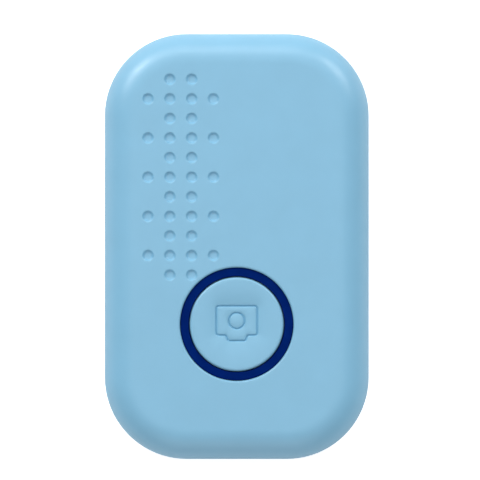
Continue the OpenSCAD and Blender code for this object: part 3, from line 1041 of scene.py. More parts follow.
@dataclass(frozen=True)
class SolderMask(Finish):
    """Green board with tracks that show through the mask."""

    name: str
    mask: Colour
    track: Colour
    pitch_mm: float = 2.8

    def sockets(self, sketch: Sketch, place: bpy.types.NodeSocket) -> dict[str, object]:
        """Mask with tracks that fade in and out.

        Args:
            sketch: the material's sketch.
            place: Object coordinates.

        Returns:
            What goes into the Principled shader, by socket.
        """
        mask = (*self.mask, 1.0)
        tracks = sketch.node("ShaderNodeTexBrick", {"Vector": place, "Scale": 1 / (self.pitch_mm * MM),
                                                    "Mortar Size": 0.035, "Mortar Smooth": 0.15,
                                                    "Color1": mask, "Color2": mask,
                                                    "Mortar": (*self.track, 1.0)},
                             offset=0.35, squash=2.5, squash_frequency=3).outputs
        fade = sketch.ranged(sketch.noise(place, 6.0, 2.0), 0.4, 0.6)
        mixed = sketch.node("ShaderNodeMix", {"Factor": fade, 6: mask, 7: tracks["Color"]}, data_type="RGBA")
        return {"Base Color": mixed.outputs[2], "Normal": sketch.bump(tracks["Fac"], 0.02), "Roughness": 0.35}


CASE = MouldedPlastic("case_plastic", (0.196, 0.449, 0.634), roughness=0.41, specular=0.85)
RING = LightPlastic("ring_plastic", (0.0010, 0.014, 0.125))
SILICONE = Elastomer("grey_silicone", (0.22, 0.23, 0.25))
RUBBER = Elastomer("dark_rubber", (0.035, 0.035, 0.04), roughness=0.62)
FOAM = Elastomer("foam", (0.10, 0.10, 0.11), pore_mm=0.35, pore_depth=0.08, roughness=0.95)
SCREW = WorkedMetal("screw_steel", (0.60, 0.61, 0.63), roughness=0.28)
NICKEL_SPRING = WorkedMetal("switch_steel", (0.62, 0.62, 0.62), Lay.ALONG_X)
GOLD = WorkedMetal("gold_spring", (0.83, 0.62, 0.28), Lay.ALONG_Y, roughness=0.25)
COPPER = WorkedMetal("copper", (0.72, 0.40, 0.22), roughness=0.3)
CRYSTAL_CAN = WorkedMetal("crystal_can", (0.66, 0.66, 0.65), Lay.ALONG_X)
BUZZER_BRASS = WorkedMetal("buzzer_brass", (0.76, 0.56, 0.24), Lay.ALONG_X, roughness=0.32)
GASKET = MouldedPlastic("cell_gasket", (0.03, 0.03, 0.032), roughness=0.5)
CELL_MASS = Elastomer("cell_mass", (0.02, 0.02, 0.02), pore_mm=0.1, roughness=0.9)
CRADLE = MouldedPlastic("cradle_plastic", (0.70, 0.67, 0.58), roughness=0.5)
CHIP = MouldedPlastic("chip_black", (0.018, 0.018, 0.02), roughness=0.6, grain_mm=0.08)
FERRITE = MouldedPlastic("ferrite", (0.07, 0.07, 0.075), roughness=0.7, grain_mm=0.1, grain_depth=0.01)
TAN_CERAMIC = MouldedPlastic("ceramic_tan", (0.38, 0.25, 0.15), roughness=0.4, mottle=0.08)
LED_WHITE = MouldedPlastic("led_white", (0.80, 0.79, 0.70), roughness=0.3, coat=0.4)
STEM = MouldedPlastic("stem_plastic", (0.75, 0.75, 0.72), roughness=0.4)
TAPE = Elastomer("tape", (0.72, 0.72, 0.68), pore_mm=0.3, roughness=0.6)
PIEZO = MouldedPlastic("piezo_ceramic", (0.62, 0.62, 0.59), roughness=0.38, mottle=0.05)
BOARD = SolderMask("board", (0.008, 0.09, 0.035), (0.02, 0.17, 0.07))
CELL_STEEL = WorkedMetal("cell_steel", (0.66, 0.66, 0.65), roughness=0.26, round_centre=(0.0, -7.0))
TERMINAL = CRYSTAL_CAN

NODE_FINISHES: dict[str, Finish] = {
    "button_washer": SILICONE, "cell_core": CELL_MASS, "battery_cradle": CRADLE,
    "positive_contact": GOLD, "negative_contact": GOLD, "main_board": BOARD, "antenna_trace": COPPER,
    "test_pads": GOLD, "buzzer_driver": CHIP, "switch_base": CHIP, "switch_cover": NICKEL_SPRING,
    "switch_stem": STEM, "buzzer_tape": TAPE, "buzzer_plate": BUZZER_BRASS,
    "buzzer_ceramic": PIEZO, "buzzer_pins": GOLD}


def keep(piece: bpy.types.Object, body: str, finish: Finish, *nodes: str) -> bpy.types.Object:
    """Dresses a piece, puts it on its body and lets it stand for its CAD nodes.

    Args:
        piece: the finished mesh object.
        body: the CAD body that it moves with.
        finish: its finish.
        nodes: the CAD nodes that it stands for.

    Returns:
        The piece.
    """
    piece.data.materials.clear()
    piece.data.materials.append(finish.material())
    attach(piece, body)
    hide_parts(*nodes)
    LOG.info("%s: %d faces, on body %s", piece.name, len(piece.data.polygons), body)
    return piece


def dress(node: str, finish: Finish) -> None:
    """Gives a CAD node its finish.

    Args:
        node: name of the CAD node.
        finish: its finish.
    """
    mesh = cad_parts[node].data
    mesh.materials.clear()
    mesh.materials.append(finish.material())
    LOG.info("%s: design mesh with finish %s", node, finish.name)


# The tag's pieces -----------------------------------------------------------------------


@dataclass
class Case:
    """Sizes that the two shells share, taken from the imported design."""

    corner_r: float = 10.0
    wall: float = 1.2
    split_z: float = 3.6
    seam_ease: float = 0.12
    rebate_in: float = 0.6
    rebate_h: float = 1.0
    tongue_h: float = 0.7
    gap: float = 0.05
    thread_lead: float = 12.0
    screw_in: tuple[float, float] = (5.0, 5.6)
    board_screws: tuple[tuple[float, float], ...] = ((-12.0, 6.6), (12.0, 6.6), (0.0, -22.2))

    def __post_init__(self) -> None:
        """Reads the outer size and the main places from the frame."""
        self.low = box_mm("back_shell")[0]
        self.high = box_mm("front_shell")[1]
        self.outline = Outline(self.high.x, self.high.y, self.corner_r)
        self.button = middle("button_cap")
        self.cell = middle("cell_can")
        self.ceiling = self.high.z - self.wall

    def edge(self, inset: float, radius: float, base: float, way: int, steps: int) -> Profile:
        """Rounded edge of a shell as insets and heights.

        Args:
            inset: inset of the wall where the rounding starts.
            radius: radius of the rounding.
            base: height where it starts.
            way: 1 where it rounds up towards the face, -1 towards the back.
            steps: number of chords.

        Returns:
            Pairs of inset and height.
        """
        return [(inset + radius - x, base + way * z) for x, z in arc((0, 0), radius, 0, 90, steps)]

    def loops(self, section: Profile) -> list[list[Vector]]:
        """Loops of the outline at pairs of inset and height."""
        return [self.outline.loop(inset, z) for inset, z in section]

    def screw_places(self) -> list[Vector]:
        """Axes of the four case screws in plan."""
        x, y = self.high.x - self.screw_in[0], self.high.y - self.screw_in[1]
        return [Vector((sx * x, sy * y, 0)) for sx in (-1, 1) for sy in (-1, 1)]


@dataclass
class FrontShell:
    """Front half of the case: face, soft edge, dimples, hole for the button, tongue and bosses."""

    case: Case
    edge_r: float = 3.8
    inner_edge_r: float = 2.6
    edge_steps: int = 22
    support: float = 0.15
    hole_r: float = 6.87
    hole_edge: float = 0.25
    hole_steps: int = 96
    columns: int = 4
    rows: int = 11
    pitch: tuple[float, float] = (2.64, 2.37)
    field_middle: tuple[float, float] = (-6.78, 8.40)
    dimple_floor_r: float = 0.42
    dimple_rim_r: float = 0.79
    dimple_depth: float = 0.27
    dimple_softness: float = 1.4
    dimple_steps: int = 24
    boss_r: float = 1.6
    boss_foot: float = 3.05
    pilot_r: float = 0.65
    pilot_top: float = 5.9
    board_boss_r: float = 1.3
    board_boss_foot: float = 5.7
    board_pilot_r: float = 0.53
    bite: float = 0.3
    weld: float = 2e-7  # in metres

    def dimple_places(self) -> list[Vector]:
        """Middles of the dimples: the outer columns have one on every other row only."""
        places = []
        for column in range(self.columns):
            for row in range(self.rows):
                if row % 2 == 1 or 0 < column < self.columns - 1:
                    x = self.field_middle[0] + (column - (self.columns - 1) / 2) * self.pitch[0]
                    y = self.field_middle[1] + (row - (self.rows - 1) / 2) * self.pitch[1]
                    places.append(Vector((x, y, self.case.high.z)))
        return places

    def shell(self) -> bpy.types.Object:
        """The shell's skin, with open rims where the dimples' cups go."""
        case, top = self.case, self.case.high.z
        skin = Skin()
        tongue_in, tongue_out = case.wall, case.rebate_in + case.gap
        foot = case.split_z - case.tongue_h
        chamfer = 0.06
        base = top - self.edge_r
        start = skin.ring(case.outline.loop(tongue_in - chamfer, foot))
        seam = [(case.seam_ease - x, case.split_z + case.seam_ease + z)
                for x, z in arc((0, 0), case.seam_ease, -90, 0, 3)]
        outside = [(tongue_out + chamfer, foot), (tongue_out, foot + chamfer), (tongue_out, case.split_z),
                   *seam, (0.0, case.split_z + 2 * case.seam_ease), (0.0, base - self.support)]
        outside += case.edge(0.0, self.edge_r, base, 1, self.edge_steps)
        outside += [(self.edge_r + self.support, top)]
        face = skin.climb(start, case.loops(outside))
        inner_base = case.ceiling - self.inner_edge_r
        inside_section = [(tongue_in, foot + chamfer)]
        inside_section += case.edge(tongue_in, self.inner_edge_r, inner_base, 1, 10)
        ceiling = skin.climb(start, case.loops(inside_section))
        hole_low = skin.circle(case.button, self.hole_r, case.ceiling, self.hole_steps)
        lip = arc((self.hole_r + self.hole_edge, top - self.hole_edge), self.hole_edge, 180, 90, 6)
        lip.append((self.hole_r + self.hole_edge + self.support, top))
        hole_top = skin.lathe(case.button, lip, self.hole_steps, hole_low)
        rims = [skin.circle(place, self.dimple_rim_r, top, self.dimple_steps)
                for place in self.dimple_places()]
        skin.level(face, [hole_top, *rims])
        skin.level(ceiling, [hole_low])
        return skin.made("front_cover")

    def cup(self) -> bpy.types.Object:
        """One dimple's cup, with its rim at height 0 and its lining facing up."""
        skin = Skin()
        profile = dish(self.dimple_floor_r, self.dimple_rim_r, self.dimple_depth, self.dimple_softness, 12)
        skin.lathe(Vector(), profile, self.dimple_steps)
        return skin.made("dimple_cup")

    def bosses(self) -> bpy.types.Object:
        """The screw bosses, which bite into the ceiling, with their pilot holes."""
        case, up = self.case, self.case.ceiling
        r, foot, pilot = self.boss_r, self.boss_foot, self.pilot_r
        skin = Skin()
        for place in case.screw_places():
            skin.turned(place, [(0, self.pilot_top + 0.1), (pilot, self.pilot_top), (pilot, foot + 0.15),
                                (pilot + 0.15, foot), (r - 0.1, foot), (r, foot + 0.1), (r, up + self.bite),
                                (0, up + self.bite)], steps=40)
        r, foot, pilot = self.board_boss_r, self.board_boss_foot, self.board_pilot_r
        for x, y in case.board_screws:
            skin.turned(Vector((x, y)), [(0, up - 0.2), (pilot, up - 0.25), (pilot, foot), (r - 0.06, foot),
                                         (r, foot + 0.06), (r, up + self.bite), (0, up + self.bite)],
                        steps=40)
        return skin.made("bosses")

    def build(self) -> None:
        """Makes the shell and puts it on the case."""
        cover, cup = self.shell(), self.cup()
        field_middle = Vector((*self.field_middle, self.case.high.z)) * MM
        DIMPLE_FIELD.run(cover, CASE, Cup=cup, Columns=self.columns, Rows=self.rows, Weld=self.weld,
                         Pitch_X=self.pitch[0] * MM, Pitch_Y=self.pitch[1] * MM, Middle=tuple(field_middle))
        discard(cup)
        with reworked(cover.data) as bm:
            bmesh.ops.recalc_face_normals(bm, faces=bm.faces)
        work(cover, self.bosses(), Joinery.JOIN)
        ease(cover)
        keep(cover, "case", CASE, "front_shell")


def helix_block(skin: Skin, centre: Vector, radii: tuple[float, float], width: float,
                heights: tuple[float, float], lead: float, starts: int = 3) -> None:
    """Adds the starts of a steep thread.

    Args:
        skin: the surface they are added to.
        centre: the thread's axis in plan.
        radii: inner and outer radius.
        width: degrees that a start covers at any one height.
        heights: lowest and highest height.
        lead: travel for a whole turn.
        starts: number of starts.
    """
    low, high = heights
    arc_steps, levels = 6, 8
    for start in range(starts):
        loops = []
        for k in range(levels + 1):
            z = low + (high - low) * k / levels
            turn = 360 * start / starts + 360 * z / lead
            outer = arc(centre.xy, radii[1], turn - width / 2, turn + width / 2, arc_steps)
            inner = arc(centre.xy, radii[0], turn + width / 2, turn - width / 2, arc_steps)
            loops.append([Vector((x, y, z)) for x, y in outer + inner])
        skin.bar(loops)


@dataclass
class BackShell:
    """Back half of the case: flat back, door well with its threaded collar, screw pillars and rebate."""

    case: Case
    edge_r: float = 2.0
    inner_edge_r: float = 1.4
    well_r: float = 13.05
    shoulder: float = 1.0
    bore_r: float = 11.05
    collar_r: float = 12.6
    collar_base_r: float = 14.0
    collar_base_top: float = 2.2
    pillar_r: float = 1.5
    pillar_top: float = 3.0
    recess_r: float = 1.4
    recess_top: float = 1.1
    clearance_r: float = 0.77
    through: float = 3.5
    rest_at: tuple[float, float] = (12.2, 13.0)
    rest_r: float = 0.8
    rest_top: float = 4.85
    lip: float = 0.14
    mark_r: float = 0.3
    mark_depth: float = 0.12
    mark_turns: tuple[float, ...] = (0, -38, -42)

    def tray(self) -> bpy.types.Object:
        """The tray without its holes and posts."""
        case = self.case
        skin = Skin()
        start = skin.ring(case.outline.loop(case.rebate_in - 0.05, case.split_z))
        seam = [(case.seam_ease - x, case.split_z - case.seam_ease + z)
                for x, z in arc((0, 0), case.seam_ease, 90, 0, 3)]
        outside = [*seam, (0.0, case.split_z - 2 * case.seam_ease), (0.0, self.edge_r + 0.15)]
        outside += case.edge(0.0, self.edge_r, self.edge_r, -1, 16)
        outside += [(self.edge_r + 0.15, 0.0)]
        skin.level(skin.climb(start, case.loops(outside)))
        inside_section = [(case.rebate_in, case.split_z - 0.05),
                          (case.rebate_in, case.split_z - case.rebate_h)]
        inside_section += case.edge(case.wall, self.inner_edge_r, case.wall + self.inner_edge_r, -1, 8)
        skin.level(skin.climb(start, case.loops(inside_section)))
        return skin.made("back_cover")

    def posts(self) -> bpy.types.Object:
        """The collar, the screw pillars and the two rests of the board."""
        case, low = self.case, self.case.wall / 2
        skin = Skin()
        for place in case.screw_places():
            skin.turned(place, peg(self.pillar_r, low, self.pillar_top), steps=40)
        for side in (-1, 1):
            place = Vector((side * self.rest_at[0], self.rest_at[1]))
            skin.turned(place, peg(self.rest_r, low, self.rest_top), steps=24)
        skin.turned(case.cell, peg(self.collar_base_r, low, self.collar_base_top)[:-1]
                    + peg(self.collar_r, self.collar_base_top, self.pillar_top)[1:], steps=120)
        return skin.made("posts")

    def flared(self, radius: float) -> Profile:
        """Start of a cutter whose rim is eased at the back's surface."""
        lip = arc((radius + self.lip, self.lip), self.lip, 270, 180, 4)
        return [(0, -0.5), (radius + self.lip, -0.5), *lip]

    def holes(self) -> bpy.types.Object:
        """Cutters for the door well, its bore, the screw recesses and the marks."""
        case = self.case
        skin = Skin()
        skin.turned(case.cell, [*self.flared(self.well_r), (self.well_r, self.shoulder),
                                (self.bore_r + 0.1, self.shoulder), (self.bore_r, self.shoulder + 0.1),
                                (self.bore_r, self.through), (0, self.through)], steps=144)
        for place in case.screw_places():
            skin.turned(place, [*self.flared(self.recess_r), (self.recess_r, self.recess_top),
                                (self.clearance_r, self.recess_top), (self.clearance_r, self.through),
                                (0, self.through)], steps=48)
        for turn in self.mark_turns:
            angle = math.radians(90 + turn)
            reach = self.well_r + 1
            place = case.cell + Vector((reach * math.cos(angle), reach * math.sin(angle), 0))
            skin.turned(place, [(0, -0.2), (self.mark_r, -0.2), (self.mark_r, 0.04),
                                (self.mark_r * 0.7, self.mark_depth * 0.8), (0, self.mark_depth)], steps=20)
        return skin.made("holes")

    def channels(self) -> bpy.types.Object:
        """Cutter for the three channels of the door's thread."""
        skin = Skin()
        helix_block(skin, self.case.cell, (self.bore_r - 0.6, self.bore_r + 0.65), 27.0,
                    (self.shoulder - 0.2, self.collar_base_top + 0.05), self.case.thread_lead)
        return skin.made("channels")

    def build(self) -> None:
        """Makes the shell and puts it on the case."""
        cover = self.tray()
        work(cover, self.posts(), Joinery.JOIN)
        work(cover, self.holes(), Joinery.CUT)
        work(cover, self.channels(), Joinery.CUT)
        keep(cover, "case", CASE, "back_shell")


@dataclass
class Pictogram:
    """Camera drawn in one line, with its lens as a ring, from the button's middle."""

    half_w: float = 2.48
    top: float = 2.21
    foot: float = -1.33
    corner_r: float = 0.32
    finder: tuple[float, float, float] = (1.31, 1.04, 0.67)
    finder_corner_r: float = 0.28
    lens_r: float = 0.96
    lens_y: float = 0.42
    line: float = 0.38
    depth: float = 0.20

    def body(self) -> FilletedPath:
        """Line round the body and the finder, which is at the foot end."""
        wide, narrow, drop = self.finder
        r, small = self.corner_r, self.finder_corner_r
        return FilletedPath.through([
            (-self.half_w, self.foot, r), (-wide, self.foot, small), (-narrow, self.foot - drop, small),
            (narrow, self.foot - drop, small), (wide, self.foot, small), (self.half_w, self.foot, r),
            (self.half_w, self.top, r), (-self.half_w, self.top, r)])

    def lens(self) -> FilletedPath:
        """Line of the lens."""
        return FilletedPath.circle((0, self.lens_y), self.lens_r, 56)

    def section(self) -> Profile:
        """Section across the groove as shifts and depths."""
        steps = 10
        half = self.line / 2
        return [(half - self.line * i / steps, -self.depth * (0.5 - 0.5 * math.cos(2 * math.pi * i / steps)))
                for i in range(steps + 1)]


@dataclass
class PushButton:
    """Round button with an engraved pictogram, a skirt, a flange with ears and a post."""

    case: Case
    radius: float = 5.68
    edge_r: float = 0.3
    soft: float = 0.05
    support: float = 0.12
    skirt_in: float = 4.93
    flange_r: float = 6.45
    flange: tuple[float, float] = (6.45, 6.75)
    ear_reach: float = 7.45
    ear_half_w: float = 1.0
    top_t: float = 0.8
    post_r: float = 1.5
    post_foot: float = 7.27
    bite: float = 0.3
    steps: int = 120
    icon: Pictogram = field(default_factory=Pictogram)

    def groove(self, skin: Skin, path: FilletedPath) -> tuple[Ring, Ring]:
        """Sinks the groove of one line of the pictogram.

        Args:
            skin: the button's surface.
            path: the line's middle.

        Returns:
            The rings of its outer and inner edge.
        """
        top = self.case.high.z
        return skin.loft([path.loop(shift, self.case.button, top + z) for shift, z in self.icon.section()])

    def cap(self) -> bpy.types.Object:
        """The cap with its pictogram."""
        top, centre = self.case.high.z, self.case.button
        low, high = self.flange
        skin = Skin()
        inner_top = top - self.top_t
        edge = arc((self.radius - self.edge_r, top - self.edge_r), self.edge_r, 0, 90, 7)
        e = self.soft
        profile = [(self.skirt_in, inner_top - 0.15), (self.skirt_in, low + e), (self.skirt_in + e, low),
                   (self.flange_r - e, low), (self.flange_r, low + e), (self.flange_r, high - e),
                   (self.flange_r - e, high), (self.radius, high), (self.radius, top - self.edge_r - 0.1),
                   *edge, (self.radius - self.edge_r - self.support, top)]
        start = skin.circle(centre, self.skirt_in - 0.15, inner_top, self.steps)
        rim = skin.lathe(centre, profile, self.steps, start)
        skin.level(start)
        body_out, body_in = self.groove(skin, self.icon.body())
        lens_out, lens_in = self.groove(skin, self.icon.lens())
        skin.level(rim, [body_out])
        skin.level(body_in, [lens_out])
        skin.level(lens_in)
        return skin.made("button_top")

    def fittings(self) -> bpy.types.Object:
        """The ears that keep the cap from turning, and the post over the switch."""
        centre = self.case.button
        low, high = self.flange
        skin = Skin()
        for side in (-1, 1):
            near, far = sorted((side * (self.skirt_in + self.bite), side * self.ear_reach))
            skin.block((near, centre.y - self.ear_half_w, low + 0.002),
                       (far, centre.y + self.ear_half_w, high - 0.002), bevel=0.04)
        top = self.case.high.z - self.top_t + self.bite
        skin.turned(centre, [(0, self.post_foot), (self.post_r - 0.1, self.post_foot),
                             (self.post_r, self.post_foot + 0.1), (self.post_r, top), (0, top)], steps=48)
        return skin.made("fittings")

    def build(self) -> None:
        """Makes the button and puts it on its body."""
        cap = self.cap()
        work(cap, self.fittings(), Joinery.JOIN)
        ease(cap)
        keep(cap, "button", CASE, "button_cap")


@dataclass
class LightRing:
    """Tinted ring round the button, with a flange under the face and a wall that guides the button."""

    case: Case
    bore_r: float = 5.80
    outer_r: float = 6.82
    top: float = 8.15
    flange_r: float = 8.07
    flange: tuple[float, float] = (6.85, 7.18)
    guide_in: float = 6.65
    guide_low: float = 6.43
    slot_half_w: float = 1.1
    ease_r: float = 0.1

    def build(self) -> None:
        """Makes the ring and puts it on the case."""
        e, centre = self.ease_r, self.case.button
        low, high = self.flange
        skin = Skin()
        crown = arc((self.outer_r - e, self.top - e), e, 0, 90, 4)
        crown += arc((self.bore_r + e, self.top - e), e, 90, 180, 4)
        foot = [(self.bore_r, low), (self.guide_in, low), (self.guide_in, self.guide_low),
                (self.flange_r, self.guide_low), (self.flange_r, high), (self.outer_r, high)]
        skin.turned(centre, foot + crown, steps=128)
        ring = skin.made("glow_ring")
        cutter = Skin()
        cutter.block((-self.flange_r - 1, centre.y - self.slot_half_w, self.guide_low - 0.5),
                     (self.flange_r + 1, centre.y + self.slot_half_w, low + 0.001))
        work(ring, cutter.made("ear_slots"), Joinery.CUT)
        keep(ring, "case", RING, "light_ring")


@dataclass
class BatteryDoor:
    """Round door with a coin slot, an O-ring groove and a skirt with three thread starts."""

    case: Case
    face: float = 0.1
    top: float = 0.98
    flange_r: float = 12.9
    skirt_r: float = 10.95
    skirt_in: float = 10.2
    skirt_top: float = 2.3
    groove: tuple[float, float, float] = (11.76, 12.46, 0.35)
    slot: tuple[float, float, float] = (11.4, 1.7, 0.45)
    slot_lip: float = 0.12
    o_ring: tuple[float, float] = (0.60, 0.15)
    edge_r: float = 0.2
    mark_r: float = 0.3
    steps: int = 144

    def plate(self) -> bpy.types.Object:
        """The door without its thread."""
        centre = self.case.cell
        groove_in, groove_out, groove_t = self.groove
        e = 0.08
        skin = Skin()
        rim = skin.circle(centre, self.flange_r - self.edge_r - 0.1, self.face, self.steps)
        edge = arc((self.flange_r - self.edge_r, self.face + self.edge_r), self.edge_r, 270, 360, 6)
        top, skirt_top = self.top, self.skirt_top
        profile = [*edge, (self.flange_r, top - e), (self.flange_r - e, top), (groove_out, top),
                   (groove_out, top - groove_t), (groove_in, top - groove_t), (groove_in, top),
                   (self.skirt_r, top), (self.skirt_r, skirt_top - e), (self.skirt_r - e, skirt_top),
                   (self.skirt_in + e, skirt_top), (self.skirt_in, skirt_top - e), (self.skirt_in, top),
                   (0, top)]
        skin.lathe(centre, profile, self.steps, rim)
        length, width, depth = self.slot
        half_l, half_w = length / 2, width / 2
        path = FilletedPath.through([(x * half_l, y * half_w, half_w - 0.001)
                                     for x, y in ((-1, -1), (1, -1), (1, 1), (-1, 1))], 10)
        lip = [(x, self.face + z) for x, z in arc((self.slot_lip, self.slot_lip), self.slot_lip, 270, 180, 4)]
        levels = [*lip, (0.0, self.face + depth - 0.06), (-0.06, self.face + depth)]
        slot_rim, slot_floor = skin.loft([path.loop(shift, centre, z) for shift, z in levels])
        skin.level(slot_floor)
        mark = Vector((centre.x, centre.y + self.flange_r - 1, 0))
        mark_rim = skin.circle(mark, self.mark_r + 0.04, self.face, 20)
        skin.lathe(mark, [(self.mark_r, self.face + 0.04), (self.mark_r * 0.7, self.face + 0.1),
                          (0, self.face + 0.12)], 20, mark_rim)
        skin.level(rim, [slot_rim, mark_rim])
        return skin.made("cell_door")

    def build(self) -> None:
        """Makes the door and its O-ring and puts them on their bodies."""
        door = self.plate()
        thread = Skin()
        helix_block(thread, self.case.cell, (self.skirt_r - 0.3, self.skirt_r + 0.6), 20.0,
                    (1.25, self.skirt_top - 0.15), self.case.thread_lead)
        work(door, thread.made("thread"), Joinery.JOIN)
        keep(door, "battery_door", CASE, "battery_door")
        radius, low, high = round_mm("door_seal")
        width, edge = self.o_ring
        loop = [Vector((x, y, (low + high) / 2))
                for x, y in arc(self.case.cell.xy, radius - width / 2 - 0.01, 0, 360, 120)[:-1]]
        ring = bead("door_o_ring", loop, width, high - low, edge, RUBBER)
        keep(ring, "door_seal_ring", RUBBER, "door_seal")


@dataclass
class Screw:
    """Small pan-head screw with a cross recess and a cut thread, head down at height 0."""

    head_r: float
    head_t: float
    shank_r: float
    length: float
    pitch: float = 0.36
    steps: int = 20

    def thread(self, skin: Skin, start: Ring, z: float) -> Ring:
        """Runs the thread up the shank.

        Args:
            skin: the screw's surface.
            start: ring where the shank leaves the head.
            z: height of that ring.

        Returns:
            The ring at the shank's end.
        """
        levels = int(self.length / self.pitch * 6)
        ring = start
        for k in range(1, levels + 1):
            height = self.length * k / levels
            fade = min(1.0, (self.length - height) / (2 * self.pitch)) * min(1.0, height / self.pitch)
            points = []
            for i in range(self.steps):
                angle = 2 * math.pi * i / self.steps
                phase = (height / self.pitch - i / self.steps) % 1.0
                ridge = max(0.0, 1 - abs(phase - 0.5) * 4)
                taper = 1 - 0.5 * max(0.0, 1 - (self.length - height) / self.shank_r)
                r = self.shank_r * taper * (0.76 + 0.24 * ridge * fade)
                points.append(Vector((r * math.cos(angle), r * math.sin(angle), z + height)))
            ring = skin.bridge(ring, skin.ring(points))
        return ring

    def part(self, name: str) -> bpy.types.Object:
        """The screw at the origin.

        Args:
            name: name of the object.

        Returns:
            The screw.
        """
        skin = Skin()
        e = self.head_t / 3
        head = [(self.head_r - e * 1.6, 0.0), *arc((self.head_r - e, e), e, 290, 360, 4),
                (self.head_r, self.head_t - 0.06), (self.head_r - 0.06, self.head_t),
                (self.shank_r * 0.8, self.head_t)]
        first = skin.circle(Vector(), head[0][0], head[0][1], self.steps)
        skin.level(first)
        end = skin.lathe(Vector(), head[1:], self.steps, first)
        end = self.thread(skin, end, self.head_t)
        skin.cone(end, Vector((0, 0, self.head_t + self.length + 0.12)))
        screw = skin.made(name)
        cutter = Skin()
        cross = FilletedPath.cross(self.head_r * 0.58, self.head_r * 0.13, self.head_r * 0.06)
        cutter.prism(cross, Vector(), -0.2, self.head_t * 0.6)
        work(screw, cutter.made("cross"), Joinery.CUT)
        return screw


@dataclass
class SnapDome:
    """Sprung dome of the switch, which flattens under the stem as the button goes in."""

    case: Case
    sheet: float = 0.06
    travel: float = 0.3
    steps: int = 96

    def build(self) -> None:
        """Makes the dome and puts it on the case."""
        radius, low, high = round_mm("switch_dome")
        centre, rise = middle("switch_dome"), high - low
        sphere_r = (radius ** 2 + rise ** 2) / (2 * rise)
        heart = high - sphere_r
        hollow_r = sphere_r - self.sheet
        profile = arc((0, heart), sphere_r, 90, math.degrees(math.acos(radius / sphere_r)), 14)
        profile += arc((0, heart), hollow_r, math.degrees(math.asin((low - heart) / hollow_r)), 90, 14)
        profile[0], profile[-1] = (0, high), (0, high - self.sheet)
        skin = Skin()
        skin.turned(centre, profile, self.steps)
        dome = keep(skin.made("snap_dome"), "case", NICKEL_SPRING, "switch_dome")
        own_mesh(dome)


@dataclass
class CoinCell:
    """The coin cell's can with its polarity cross, its gasket and its cap, and the pad under it."""

    case: Case
    sheet: float = 0.25
    edge_r: float = 0.3
    soft: float = 0.06
    face_step: tuple[float, float] = (8.3, 0.05)
    cross: tuple[float, float, float] = (1.3, 0.22, 0.06)
    cross_at: float = 5.4
    shoulder_r: float = 0.4

    def turned(self, name: str, profile: Profile, steps: int = 144) -> bpy.types.Object:
        """Makes a piece that is turned about the cell's axis.

        Args:
            name: name of the piece.
            profile: its half section.
            steps: chords in its round.

        Returns:
            The piece.
        """
        skin = Skin()
        skin.turned(self.case.cell, profile, steps)
        return skin.made(name)

    def can(self) -> bpy.types.Object:
        """Cup of sheet metal, whose face looks at the door."""
        radius, low, high = round_mm("cell_can")
        e, (step_r, step_h) = self.soft, self.face_step
        inner = radius - self.sheet
        can = self.turned("coin_can", [
            (0, low + step_h), (step_r, low + step_h), (step_r + 0.15, low),
            *arc((radius - self.edge_r, low + self.edge_r), self.edge_r, 270, 360, 7),
            *arc((radius - 2 * e, high - 2 * e), 2 * e, 0, 90, 4),
            (inner + e, high), (inner, high - e), (inner, low + self.sheet), (0, low + self.sheet)])
        reach, half_w, depth = self.cross
        sign_at = self.case.cell + Vector((0, self.cross_at, 0))
        cutter = Skin()
        cutter.prism(FilletedPath.cross(reach, half_w, corner_r=0.08), sign_at,
                     low - 0.2, low + step_h + depth)
        work(can, cutter.made("polarity_cross"), Joinery.CUT)
        return can

    def gasket(self) -> bpy.types.Object:
        """Seal between the can and the cap, with a rounded lip."""
        outer, low, high = round_mm("cell_gasket")
        inner, e = round_mm("cell_cap")[0] + self.case.gap, self.soft
        lip_r = (outer - inner) / 2
        return self.turned("coin_gasket", [(inner, low + e), (inner + e, low), (outer - e, low),
                                           (outer, low + e),
                                           *arc((inner + lip_r, high - lip_r), lip_r, 0, 180, 8)])

    def cap(self) -> bpy.types.Object:
        """Cup of sheet metal with a rounded shoulder."""
        radius, low, high = round_mm("cell_cap")
        r, t = self.shoulder_r, self.sheet
        turn = (radius - r, high - r)
        return self.turned("coin_cap", [(0, high), (radius - r - 0.1, high), *arc(turn, r, 90, 0, 7),
                                        (radius, low), (radius - t, low), *arc(turn, r - t, 0, 90, 5),
                                        (0, high - t)])

    def pad(self) -> bpy.types.Object:
        """Foam disc that holds the cell, with soft edges."""
        radius, low, high = round_mm("door_pad")
        r = (high - low) / 3
        return self.turned("foam_pad", [(0, low), *arc((radius - r, low + r), r, 270, 360, 4),
                                        *arc((radius - r, high - r), r, 0, 90, 4), (0, high)], steps=96)

    def build(self) -> None:
        """Makes the cell and the pad and puts them on their bodies."""
        keep(self.can(), "case", CELL_STEEL, "cell_can")
        keep(self.gasket(), "case", GASKET, "cell_gasket")
        keep(self.cap(), "case", CELL_STEEL, "cell_cap")
        keep(self.pad(), "battery_door", FOAM, "door_pad")


